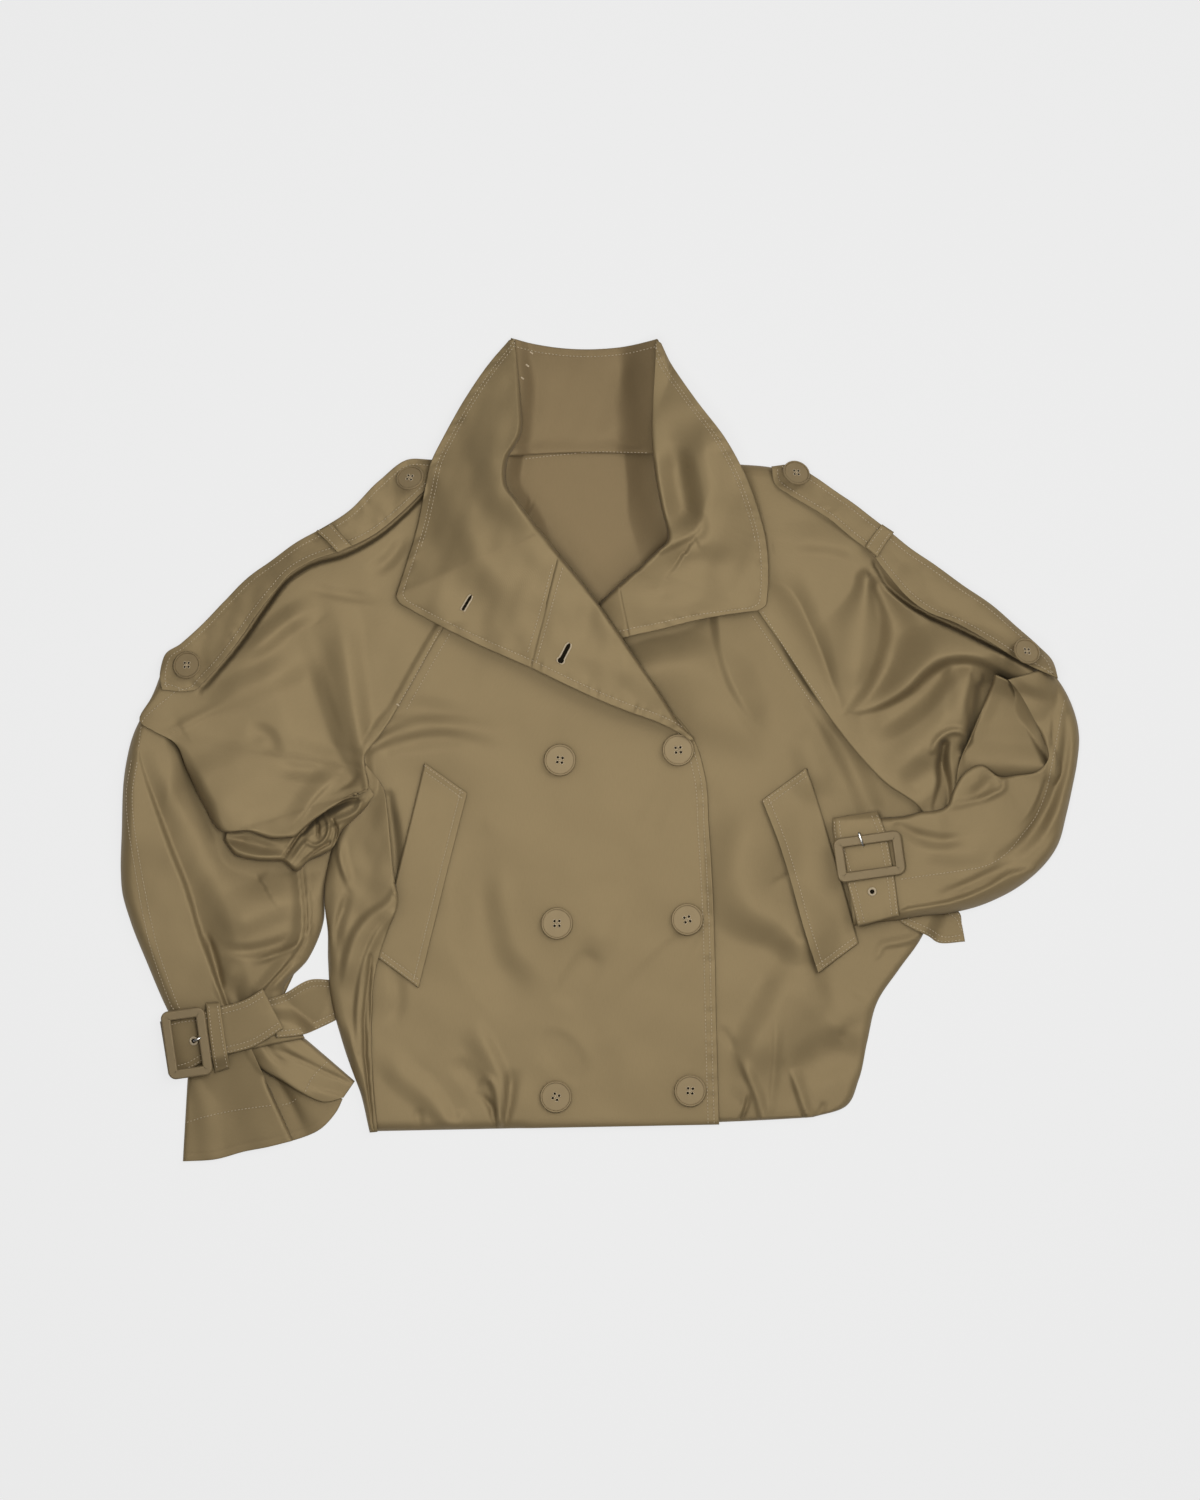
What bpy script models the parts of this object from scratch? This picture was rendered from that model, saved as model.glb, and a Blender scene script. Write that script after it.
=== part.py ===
"""Cropped double-breasted trench jacket, laid flat face up. Metres, +Z up, wearer's right side at -X.

The jacket is laid down piece by piece, from the floor up, as it lies on a table. Each panel is a
loft between the two edges named in its table of sections. A pile keeps the height of everything laid
so far, and each new piece rests on it. One table of folds shapes the top layer, so panels that meet
at a seam keep one surface.

The tables are drawn on a layout grid: `across` runs right and `down` runs towards the hem, in units
of garment width over LAYOUT_WIDTH. Heights and widths of folds are in millimetres.
"""

import math
from collections import namedtuple
from dataclasses import dataclass, field

import bmesh
import bpy
import numpy as np
from mathutils import Vector

# Driving dimensions, in metres.
GARMENT_WIDTH = 0.843  # over both sleeves, as laid
SHELL = 0.0016  # shell cloth with its lining
DOUBLE = 0.0022  # two layers and interfacing: collar, straps, welts
STRAP = 0.0020
SEAM_GAP = 0.0003
FRONT_BUTTON = 0.028
SHOULDER_BUTTON = 0.0245
BUTTON_HEIGHT = 0.0034
BUCKLE_LENGTH = 0.060
BUCKLE_WIDTH = 0.039
BUCKLE_BAR = 0.0085
BUCKLE_HEIGHT = 0.0036
PRONG = 0.0022
SHARP_ANGLE = math.radians(40)
MM = 0.001

CLOTH_COLOUR = (0.29, 0.21, 0.115, 1)
LINING_COLOUR = (0.25, 0.17, 0.10, 1)
TRIM_COLOUR = (0.26, 0.19, 0.10, 1)
METAL_COLOUR = (0.75, 0.73, 0.70, 1)

# The layout grid.
LAYOUT_WIDTH = 958
LAYOUT_CENTRE = (600, 749.8)
UNIT = GARMENT_WIDTH / LAYOUT_WIDTH

# A section joins edge a to edge b. bow moves its middle to the left of a-to-b, seen with down as
# down. ha and hb are the cloth's height at the two edges, in mm.
Section = namedtuple("Section", "ax ay bx by bow ha hb")
# A fold's crest runs down or right, from (x0, y0) to (x1, y1), with its middle moved by bow. Its two
# flanks are `before` and `after` mm wide. Bow and `after` are on its right where the crest runs down,
# and above it where it runs right. A negative height is a trough.
Fold = namedtuple("Fold", "x0 y0 x1 y1 bow before after height")

BACK = [
    Section(500, 450, 682, 450, 0, 0, 0),
    Section(496, 485, 692, 485, 0, 0, 0),
    Section(480, 545, 710, 545, 0, 0, 0),
    Section(446, 628, 760, 628, 0, 0, 0),
    Section(404, 704, 812, 704, 0, 0, 0),
    Section(374, 756, 856, 762, 0, 0, 0),
    Section(350, 820, 918, 812, 0, 0, 0),
    Section(341, 860, 930, 850, 0, 0, 0),
    Section(337, 900, 930, 895, 0, 0, 0),
    Section(340, 960, 898, 960, 0, 0, 0),
    Section(349, 1010, 868, 1010, 0, 0, 0),
    Section(364, 1065, 856, 1062, 0, 0, 0),
    Section(378, 1120, 830, 1106, 0, 0, 0),
]

COLLAR_BACK = [
    Section(511, 338.5, 657, 340.5, -10, 3, 3),
    Section(508, 370, 668, 372, -4, 4, 4),
    Section(506, 410, 672, 410, 0, 4, 4),
    Section(508, 457, 672, 457, 4, 3, 3),
]

RIGHT_SLEEVE_UNDER = [
    Section(425, 470, 470, 560, 0, 0, 0),
    Section(345, 534, 430, 642, 0, 0, 0),
    Section(275, 580, 398, 708, 0, 0, 0),
    Section(180, 668, 368, 755, 0, 0, 0),
    Section(138, 745, 350, 805, 0, 0, 0),
    Section(130, 800, 332, 845, 0, 0, 0),
    Section(128, 880, 318, 890, 0, 0, 0),
    Section(152, 955, 302, 955, 0, 0, 0),
    Section(174, 1010, 282, 1000, 0, 0, 0),
]

RIGHT_CUFF_UNDER = [
    Section(192, 1075, 191, 1150, 0, 0, 0),
    Section(215, 1062, 225, 1154, 0, 0, 0),
    Section(245, 1054, 262, 1142, 0, 0, 0),
    Section(270, 1048, 300, 1135, 0, 0, 0),
    Section(290, 1044, 334, 1103, 0, 0, 0),
    Section(304, 1043, 346, 1081, 0, 0, 0),
]

LEFT_SLEEVE_UNDER = [
    Section(755, 474, 748, 580, 0, 0, 0),
    Section(820, 496, 788, 652, 0, 0, 0),
    Section(870, 530, 812, 688, 0, 0, 0),
    Section(920, 568, 836, 722, 0, 0, 0),
    Section(1012, 640, 884, 780, 0, 0, 0),
    Section(1062, 710, 934, 802, 0, 0, 0),
    Section(1070, 760, 944, 804, 0, 0, 0),
    Section(1054, 838, 952, 804, 0, 0, 0),
    Section(1012, 882, 944, 808, 0, 0, 0),
    Section(955, 906, 926, 815, 0, 0, 0),
    Section(900, 912, 898, 826, 0, 0, 0),
    Section(858, 919, 842, 824, 0, 0, 0),
]

LEFT_FRONT = [
    Section(640, 592, 742, 590, 0, 5, 7),
    Section(618, 622, 761.5, 619, 0, 5, 8),
    Section(594, 655, 784.5, 652, 0, 5, 9),
    Section(562, 700, 816, 698, 0, 5, 10),
    Section(541, 740, 843.5, 736, 0, 5, 10),
    Section(533, 780, 880, 777, 0, 5, 9),
    Section(531, 815, 925, 811, 0, 5, 7),
    Section(531, 860, 940, 855, 0, 5, 6),
    Section(531, 905, 936, 900, 0, 5, 6),
    Section(531, 940, 921, 938, 0, 5, 6),
    Section(531, 970, 899, 969, 0, 5, 8),
    Section(531, 1002, 878, 1000, 0, 5, 9),
    Section(531, 1045, 867, 1042, 0, 5, 10),
    Section(531, 1082, 858.5, 1080, 0, 5, 10),
    Section(531, 1107, 846, 1106, 0, 5, 10),
    Section(531, 1124, 813, 1117, 0, 5, 9),
]

RIGHT_FRONT = [
    Section(487, 548, 540, 531, 0, 8, 9),
    Section(463.5, 598, 586, 588, 0, 9, 9),
    Section(442.3, 630, 614, 628, 0, 10, 9),
    Section(421, 666, 638, 664, 0, 10, 9),
    Section(399, 705, 664, 702, 0, 10, 9),
    Section(367, 753, 697, 747, 0, 10, 9),
    Section(371, 778, 705, 776, 0, 8, 9),
    Section(373, 830, 709, 830, 0, 8, 9),
    Section(375, 900, 713, 900, 0, 8, 9),
    Section(374, 960, 715, 960, 0, 8, 9),
    Section(371, 1010, 716, 1010, 0, 8, 9),
    Section(374, 1070, 717.5, 1070, 0, 9, 9),
    Section(379, 1131, 719, 1124, 0, 10, 9),
]

RIGHT_SIDE = [
    Section(367, 764, 371, 770, 0, 11, 11),
    Section(354, 792, 384, 789, 0, 12, 13),
    Section(344, 815, 388, 812, 0, 12, 14),
    Section(334, 842, 391, 842, 0, 12, 15),
    Section(327, 872, 394, 872, 0, 13, 15),
    Section(325, 902, 398.5, 902, 0, 13, 15),
    Section(328, 932, 388, 932, 0, 13, 14),
    Section(328, 958, 379, 958, 0, 12, 12),
    Section(332, 1000, 372, 1000, 0, 11, 11),
    Section(345, 1050, 372, 1050, 0, 11, 11),
    Section(361, 1094, 374, 1094, 0, 11, 11),
    Section(370, 1132, 378, 1131, 0, 10, 10),
]

RIGHT_SLEEVE_LOWER = [
    Section(156, 712, 236, 690, 0, 9, 9),
    Section(137, 733, 245, 738, 0, 11, 8),
    Section(128, 757, 262, 785, 0, 13, 8),
    Section(124, 785, 300, 815, 0, 13, 8),
    Section(122, 830, 333, 846, 0, 14, 8),
    Section(121, 872, 327, 876, 0, 15, 9),
    Section(123, 895, 325, 900, 0, 15, 9),
    Section(131, 922, 324, 920, 0, 15, 9),
    Section(147, 962, 309, 958, 0, 14, 9),
    Section(163, 1000, 284, 989, 0, 12, 9),
    Section(178, 1032, 292, 1014, 0, 9, 8),
    Section(187.5, 1061, 305.5, 1037, 0, 7, 7),
]

RIGHT_SLEEVE_UPPER = [
    Section(441, 463, 464, 598, 0, 8, 9),
    Section(398, 470, 443, 630, 0, 9, 10),
    Section(340, 528, 422, 666, 0, 10, 10),
    Section(276, 570, 400, 705, 0, 12, 10),
    Section(202, 632, 378, 739, 0, 14, 11),
    Section(164, 668, 368, 752, 0, 14, 12),
    Section(152, 698, 365, 757, 0, 14, 12),
    Section(141, 721, 365, 763, 0, 14, 13),
    Section(159, 736, 366, 768, 0, 15, 13),
    Section(178, 749, 367, 773, 0, 16, 14),
    Section(190, 773, 369, 779, 0, 18, 14),
    Section(205, 806, 371, 786, 0, 20, 15),
    Section(224, 836, 370, 789, -3, 21, 16),
    Section(238, 854, 368, 790, -4, 21, 17),
    Section(272, 859, 363, 794, 2, 21, 18),
]

RIGHT_CUFF = [
    Section(189, 1064, 183, 1161, 0, 7, 6),
    Section(202, 1060, 215, 1159, 0, 9, 8),
    Section(222, 1057, 245, 1151, 0, 10, 10),
    Section(243, 1052, 272, 1145, 0, 10, 10),
    Section(260, 1048, 299, 1140, 0, 9, 8),
    Section(278, 1044, 329, 1120, 0, 9, 8),
    Section(294, 1041, 344, 1099, 0, 10, 11),
    Section(307, 1040, 355, 1081, 0, 8, 9),
]

LEFT_SLEEVE_UPPER = [
    Section(745, 468, 742, 588, 0, 8, 8),
    Section(778, 469, 761, 617, 0, 9, 9),
    Section(822, 490, 785, 651, 0, 11, 10),
    Section(872, 524, 807, 685, 0, 13, 11),
    Section(920, 561, 829.5, 719, 0, 14, 11),
    Section(975, 599, 857, 754, 0, 15, 11),
    Section(1022, 640, 887, 785, 0, 16, 12),
    Section(1052, 676, 913, 802, 0, 14, 12),
    Section(1058, 705, 926, 808, 0, 9, 11),
    Section(1060, 735, 935, 813, 0, 8, 10),
    Section(1058, 768, 941, 818, 0, 8, 10),
]

LEFT_SLEEVE_LOWER = [
    Section(1046, 668, 1006, 680, 0, 14, 13),
    Section(1060, 684, 1016, 691, 0, 16, 14),
    Section(1072, 706, 1029, 713, 0, 16, 16),
    Section(1079, 738, 1042, 740, 0, 16, 19),
    Section(1077, 762, 1047, 757, 0, 16, 20),
    Section(1072, 788, 1036, 771, 0, 16, 20),
    Section(1066, 815, 1015, 775, 0, 17, 19),
    Section(1058, 844, 997, 776, 0, 18, 20),
    Section(1043, 866, 980, 765, 0, 19, 22),
    Section(1021, 885, 964, 772, 0, 20, 21),
    Section(996, 899, 953, 788, 0, 20, 20),
    Section(972, 908, 946, 805, 0, 20, 19),
    Section(948, 913, 936, 810, 0, 20, 20),
    Section(925, 915, 919, 812, 0, 20, 20),
    Section(900, 919, 902, 816, 0, 20, 20),
    Section(876, 922, 873, 818, 0, 19, 20),
    Section(853, 925, 836, 820, 0, 18, 18),
]

RIGHT_COLLAR = [
    Section(509, 341, 514, 339.5, 0, 7, 8),
    Section(492, 361, 517, 362, 0, 8, 19),
    Section(466, 399, 521, 400, 0, 10, 31),
    Section(444, 438, 521, 436, 0, 13, 40),
    Section(431, 465, 508, 461, 0, 16, 44),
    Section(425, 492, 507, 484, 0, 19, 45),
    Section(417, 530, 519, 503, 0, 19, 45),
    Section(406, 567, 531, 519, 0, 19, 44),
    Section(396.5, 597, 541, 532, 0, 20, 42),
    Section(400, 604, 543, 534, 0, 21, 41),
    Section(440, 626, 549, 541, 0, 23, 40),
    Section(485, 648, 554, 548, 0, 25, 38),
    Section(532, 668.5, 560.5, 556.5, 0, 26, 37),
]

RIGHT_LAPEL = [
    Section(533, 669, 561.3, 557.5, 0, 26, 37),
    Section(562, 683, 588, 590, 0, 27, 35),
    Section(594, 698, 614, 627, 0, 27, 33),
    Section(628, 712, 641, 666, 0, 25, 29),
    Section(656, 722, 665, 702, 0, 22, 24),
    Section(675, 731, 681, 726, 0, 19, 20),
    Section(691, 741, 694, 740, 0, 15, 15),
]

LEFT_COLLAR = [
    Section(661, 345, 656, 342, 0, 7, 8),
    Section(669, 362, 655, 365, 0, 18, 12),
    Section(694, 400, 653, 400, 0, 36, 15),
    Section(724, 440, 652, 440, 0, 32, 17),
    Section(744, 476, 655, 476, 0, 26, 20),
    Section(757, 510, 661, 508, 0, 22, 24),
    Section(766, 545, 667, 540, 0, 20, 31),
    Section(768, 578, 656, 552, 0, 19, 33),
    Section(766, 606, 646, 561, 0, 18, 32),
    Section(758, 611, 642, 565, 0, 19, 31),
    Section(735, 614, 637, 570, 0, 20, 30),
    Section(700, 620, 631, 574, 0, 21, 29),
    Section(660, 630, 623, 581, 0, 21, 27),
    Section(628, 637, 617.5, 586, 0, 20, 25),
]

LEFT_LAPEL = [
    Section(626.8, 637.6, 616.5, 587, 0, 20, 25),
    Section(614, 640, 605, 598, 0, 17, 20),
    Section(600, 640, 594, 612, 0, 13, 15),
]

RIGHT_EPAULETTE = [
    Section(433, 460, 431, 485, 0, 0, 0),
    Section(409, 460, 418, 498, 0, 0, 0),
    Section(380, 481, 399, 516, 0, 0, 0),
    Section(350, 511, 372, 537, 0, 0, 0),
    Section(322, 529, 340, 552, 0, 0, 0),
    Section(297, 543, 316, 560, 0, 0, 0),
    Section(271, 562, 292, 574, 0, 0, 0),
    Section(250, 577, 277, 591, 0, 0, 0),
    Section(225, 602, 258, 615, 0, 0, 0),
    Section(203, 625, 240, 641, 0, 0, 0),
    Section(182, 644, 222, 664, 0, 0, 0),
    Section(165, 657, 204, 683, 0, 0, 0),
    Section(161, 675, 197, 690, 0, 0, 0),
    Section(163, 690, 182, 692, 0, 0, 0),
]

LEFT_EPAULETTE = [
    Section(784, 465, 771, 467, 0, 0, 0),
    Section(799, 468, 774, 484, 0, 0, 0),
    Section(814, 477, 788, 495, 0, 0, 0),
    Section(834, 491, 808, 507, 0, 0, 0),
    Section(853, 504, 830, 521, 0, 0, 0),
    Section(871, 518, 850, 538, 0, 0, 0),
    Section(889, 532, 868, 552, 0, 0, 0),
    Section(910, 549, 887, 576, 0, 0, 0),
    Section(935, 566, 904, 596, 0, 0, 0),
    Section(962, 586, 925, 612, 0, 0, 0),
    Section(990, 605, 955, 624, 0, 0, 0),
    Section(1015, 627, 985, 641, 0, 0, 0),
    Section(1038, 647, 1012, 658, 0, 0, 0),
    Section(1051, 661, 1031, 668, 0, 0, 0),
    Section(1056, 679, 1047, 675, 0, 0, 0),
]

RIGHT_EPAULETTE_LOOP = [
    Section(317, 532, 332, 524, 0, 0, 0),
    Section(328, 542, 342, 535, 0, 0, 0),
    Section(339, 554, 353, 547, 0, 0, 0),
]

LEFT_EPAULETTE_LOOP = [
    Section(881, 525, 893, 533, 0, 0, 0),
    Section(872, 536, 884, 545, 0, 0, 0),
    Section(864, 548, 876, 558, 0, 0, 0),
]

RIGHT_SLEEVE_FOLD = [
    Section(268, 858, 280, 866, 0, 15, 14),
    Section(282, 845, 297, 871, 0, 16, 13),
    Section(300, 828, 316, 850, 0, 17, 14),
    Section(322, 808, 336, 830, 0, 17, 15),
    Section(345, 795, 350, 821, 0, 18, 16),
    Section(362, 790, 364, 812, 0, 18, 16),
    Section(372, 782, 377, 797, 0, 17, 15),
]

RIGHT_WELT = [
    Section(425, 763, 467.5, 793, 0, 0, 0),
    Section(409, 828, 451, 858, 0, 0, 0),
    Section(393, 893, 435, 923, 0, 0, 0),
    Section(378, 957, 419, 987.5, 0, 0, 0),
]

LEFT_WELT = [
    Section(761.5, 800, 805.5, 768, 0, 0, 0),
    Section(778, 842, 820, 810, 0, 0, 0),
    Section(790, 880, 832, 850, 0, 0, 0),
    Section(803, 928, 846, 897, 0, 0, 0),
    Section(817.5, 972.5, 858, 943, 0, 0, 0),
]

RIGHT_STRAP = [
    Section(162, 1028, 170, 1070, 0, 0, 0),
    Section(178, 1021, 187, 1067, 0, 0, 0),
    Section(200, 1012, 208, 1059, 0, 0, 0),
    Section(222, 1006, 229, 1053, 0, 0, 0),
    Section(243, 1000, 254, 1046, 0, 0, 0),
    Section(264, 988, 285, 1027, 0, 0, 0),
]

RIGHT_STRAP_TAIL = [
    Section(262, 1000, 278, 1037, 0, 0, 0),
    Section(283, 994, 303, 1034, 0, 0, 0),
    Section(312, 979, 326, 1025, 0, 0, 0),
    Section(333, 980, 340, 1018, 0, 0, 0),
]

LEFT_STRAP = [
    Section(831, 818, 876, 811, 0, 0, 0),
    Section(833, 838, 884, 831, 0, 0, 0),
    Section(839, 860, 889, 853, 0, 0, 0),
    Section(846, 882, 893, 876, 0, 0, 0),
    Section(857, 926, 897.5, 915, 0, 0, 0),
]

LEFT_STRAP_TAIL = [
    Section(884, 908, 884, 890, 0, 0, 0),
    Section(904, 924, 912, 900, 0, 0, 0),
    Section(928, 936, 938, 902, 0, 0, 0),
    Section(940, 943, 958, 911, 0, 0, 0),
    Section(965, 941.5, 962, 925, 0, 0, 0),
]

# Name, diameter, place of each button.
BUTTONS = [
    ("button_front_1", FRONT_BUTTON, (560, 760)),
    ("button_front_2", FRONT_BUTTON, (678, 750)),
    ("button_front_3", FRONT_BUTTON, (557, 923)),
    ("button_front_4", FRONT_BUTTON, (687, 919)),
    ("button_front_5", FRONT_BUTTON, (556, 1096)),
    ("button_front_6", FRONT_BUTTON, (690, 1090)),
    ("button_shoulder_right_outer", SHOULDER_BUTTON, (189, 666)),
    ("button_shoulder_right_inner", SHOULDER_BUTTON, (411, 480)),
    ("button_shoulder_left_outer", SHOULDER_BUTTON, (1024, 653)),
    ("button_shoulder_left_inner", SHOULDER_BUTTON, (795, 476)),
]

# Side, centre, turn in degrees, and where the pin starts and ends.
BUCKLES = [
    ("right", (188.5, 1042), 8, (196, 1040), (208, 1034)),
    ("left", (868, 856), 98, (857, 832), (862, 846)),
]

RIGHT_KEEPER = [
    Section(207, 1002, 221, 1001, 0, 0, 0),
    Section(210, 1030, 225, 1028, 0, 0, 0),
    Section(216, 1072, 231, 1067, 0, 0, 0),
]

# The largest folds of the top layer.
FOLDS = [
    # Right sleeve, upper arm.
    Fold(345, 590, 362, 745, -6, 26, 16, 6),
    Fold(300, 560, 318, 700, 12, 30, 26, 4),
    Fold(330, 600, 345, 730, -4, 14, 14, -4),
    Fold(215, 700, 330, 640, 10, 24, 26, 4),
    Fold(176, 736, 222, 836, -6, 14, 24, -7),
    Fold(232, 742, 250, 840, -10, 26, 26, 5),
    Fold(270, 735, 285, 800, 8, 18, 18, -3),
    # Right sleeve, forearm.
    Fold(150, 780, 220, 1000, -8, 30, 5, 6),
    Fold(196, 840, 236, 1000, -6, 6, 22, -4),
    Fold(210, 960, 290, 900, 8, 26, 20, 4),
    Fold(302, 868, 298, 960, 8, 20, 4, 4),
    # Right front.
    Fold(372, 752, 560, 712, 16, 16, 18, 4),
    Fold(400, 775, 520, 745, 14, 12, 14, -2),
    Fold(470, 850, 500, 1010, -12, 22, 26, -3),
    Fold(520, 860, 560, 1060, -10, 40, 40, 3),
    Fold(690, 940, 600, 1060, 10, 26, 30, -3),
    Fold(480, 1062, 498, 1124, 12, 14, 6, 6),
    Fold(430, 1040, 460, 1128, 8, 16, 16, 4),
    Fold(395, 1000, 410, 1128, 4, 14, 14, 4),
    # Right side.
    Fold(350, 860, 352, 1010, -8, 10, 12, 4),
    Fold(372, 915, 350, 1060, -6, 8, 10, -3),
    # Left front.
    Fold(722, 650, 748, 770, 10, 20, 24, 5),
    Fold(712, 790, 745, 905, -12, 22, 16, -5),
    Fold(735, 880, 800, 940, -8, 18, 16, 5),
    Fold(775, 950, 735, 1100, -14, 18, 20, -5),
    Fold(812, 985, 842, 1075, 12, 26, 24, 5),
    Fold(742, 1045, 756, 1118, -4, 8, 10, 5),
    Fold(780, 1060, 806, 1115, 4, 12, 10, 5),
    # Left sleeve, upper arm.
    Fold(866, 580, 848, 705, -8, 30, 26, 7),
    Fold(805, 600, 800, 650, 0, 20, 20, 3),
    Fold(825, 560, 815, 680, -6, 20, 18, -5),
    Fold(850, 712, 1010, 672, 26, 16, 20, 6),
    Fold(905, 590, 890, 690, -4, 22, 22, -6),
    Fold(950, 678, 926, 770, -6, 18, 14, 6),
    Fold(982, 690, 965, 760, 0, 10, 12, -7),
    Fold(1016, 688, 1046, 756, -4, 8, 14, -8),
    # Left sleeve, forearm.
    Fold(905, 820, 1010, 818, -12, 12, 10, -4),
    Fold(1045, 770, 960, 840, -12, 16, 16, 4),
    Fold(1052, 770, 1000, 866, -10, 12, 14, -3),
]

# The rolled crest of the left collar, which stands away from the neck.
COLLAR_FOLDS = [
    Fold(690, 415, 701, 528, 6, 38, 40, 17),
]

# The back of the collar climbs to the wings at its ends.
COLLAR_BACK_FOLDS = [
    Fold(663, 344, 665, 458, 0, 32, 22, 19),
    Fold(512, 344, 510, 458, 0, 14, 24, 11),
]


def place(across, down):
    """Metres in the part's frame, for a point or arrays of the layout grid."""
    return (across - LAYOUT_CENTRE[0]) * UNIT, (LAYOUT_CENTRE[1] - down) * UNIT


def eased(t):
    """0 to 1 with level ends."""
    t = np.clip(t, 0, 1)
    return t * t * (3 - 2 * t)


def relief(x, y, folds):
    """Height in metres that a table of folds adds at each point."""
    total = np.zeros_like(x)
    for fold in folds:
        start = np.array(place(fold.x0, fold.y0))
        end = np.array(place(fold.x1, fold.y1))
        run = end - start
        length = np.linalg.norm(run)
        along_way = run / length
        across_way = np.array([-along_way[1], along_way[0]])
        dx, dy = x - start[0], y - start[1]
        s = (dx * along_way[0] + dy * along_way[1]) / length
        bowed = 4 * np.clip(s, 0, 1) * (1 - np.clip(s, 0, 1)) * fold.bow * UNIT
        d = dx * across_way[0] + dy * across_way[1] - bowed
        half = np.where(d < 0, fold.before, fold.after) * MM
        ends = eased((s + 0.15) / 0.45) * eased((1.15 - s) / 0.45)
        total += fold.height * MM * eased(1 - np.abs(d) / half) * ends
    return total


class Pile:
    """Height of everything laid down so far, on a square grid over the layout."""

    CELL = 0.003
    HALF = (0.46, 0.40)

    def __init__(self):
        shape = [int(2 * half / self.CELL) + 1 for half in self.HALF]
        self.height = np.zeros(shape)

    def cell(self, x, y):
        return (x + self.HALF[0]) / self.CELL, (y + self.HALF[1]) / self.CELL

    def spread(self, reach):
        """The heights after each is carried `reach` metres outwards and smoothed."""
        n = max(1, round(reach / self.CELL))
        high = self.height
        for axis in (0, 1):
            high = np.max([np.roll(high, k, axis) for k in range(-n, n + 1)], axis=0)
        for axis in (0, 1):
            high = np.mean([np.roll(high, k, axis) for k in range(-n, n + 1)], axis=0)
        return high

    def under(self, x, y, reach):
        """The height that a piece has to clear at each point."""
        high = self.spread(reach)
        i, j = self.cell(x, y)
        i0, j0 = np.floor(i).astype(int), np.floor(j).astype(int)
        fi, fj = i - i0, j - j0
        return (
            high[i0, j0] * (1 - fi) * (1 - fj)
            + high[i0 + 1, j0] * fi * (1 - fj)
            + high[i0, j0 + 1] * (1 - fi) * fj
            + high[i0 + 1, j0 + 1] * fi * fj
        )

    def crown(self, x, y, radius):
        """The greatest height within radius of a point."""
        i, j = self.cell(x, y)
        n = radius / self.CELL + 1
        rows, columns = np.indices(self.height.shape)
        return self.height[(rows - i) ** 2 + (columns - j) ** 2 <= n * n].max()

    def lay_disc(self, x, y, radius, top):
        """Adds a flat round piece."""
        i, j = self.cell(x, y)
        rows, columns = np.indices(self.height.shape)
        inside = (rows - i) ** 2 + (columns - j) ** 2 <= (radius / self.CELL) ** 2
        self.height[inside] = np.maximum(self.height[inside], top)

    def lay(self, grid):
        """Adds a piece's top surface, an array of rows by columns by xyz.

        A twisted cell is raised by as much as either of its diagonals can stand above it.
        """
        z = grid[..., 2]
        twist = np.abs(z[1:, 1:] + z[:-1, :-1] - z[1:, :-1] - z[:-1, 1:]) / 4
        raised = grid.copy()
        for rows in (slice(None, -1), slice(1, None)):
            for columns in (slice(None, -1), slice(1, None)):
                corner = raised[rows, columns, 2]
                np.maximum(corner, z[rows, columns] + twist, out=corner)
        fine = refined(refined(raised, 0), 1)
        i, j = self.cell(fine[..., 0], fine[..., 1])
        np.maximum.at(self.height, (np.rint(i).astype(int), np.rint(j).astype(int)), fine[..., 2])


def refined(grid, axis, step=0.0015):
    """The grid again with straight in-between points, about `step` apart along one axis."""
    gaps = np.linalg.norm(np.diff(grid, axis=axis), axis=-1).max()
    parts = max(1, math.ceil(gaps / step))
    count = grid.shape[axis]
    at = np.linspace(0, count - 1, (count - 1) * parts + 1)
    low = np.clip(np.floor(at).astype(int), 0, count - 2)
    share = (at - low).reshape([-1 if k == axis else 1 for k in range(3)])
    first, second = np.take(grid, low, axis), np.take(grid, low + 1, axis)
    return first + (second - first) * share


def spaced(count, tight_start, tight_end):
    """count + 1 shares from 0 to 1, closer together at an end that rolls over."""
    t = np.linspace(0, 1, count + 1)
    if tight_start and tight_end:
        return 0.5 - 0.5 * np.cos(math.pi * t)
    if tight_start:
        return 1 - np.cos(math.pi / 2 * t)
    if tight_end:
        return np.sin(math.pi / 2 * t)
    return t


def lofted(sections, shares):
    """The columns of the sections' table at shares of the way along it, on a smooth curve."""
    table = np.array(sections, float)
    ends = table[:, :4].reshape(-1, 2, 2)
    steps = np.linalg.norm(np.diff(ends, axis=0), axis=2).mean(axis=1)
    knots = np.concatenate([[0], np.cumsum(steps)])
    slope = np.diff(table, axis=0) / steps[:, None]
    turn = np.vstack([slope[:1], (slope[1:] * steps[:-1, None] + slope[:-1] * steps[1:, None])
                      / (steps[1:] + steps[:-1])[:, None], slope[-1:]])
    at = shares * knots[-1]
    i = np.clip(np.searchsorted(knots, at, side="right") - 1, 0, len(steps) - 1)
    h = steps[i][:, None]
    t = ((at - knots[i]) / steps[i])[:, None]
    return (
        (2 * t**3 - 3 * t**2 + 1) * table[i]
        + (t**3 - 2 * t**2 + t) * h * turn[i]
        + (3 * t**2 - 2 * t**3) * table[i + 1]
        + (t**3 - t**2) * h * turn[i + 1]
    )


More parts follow.
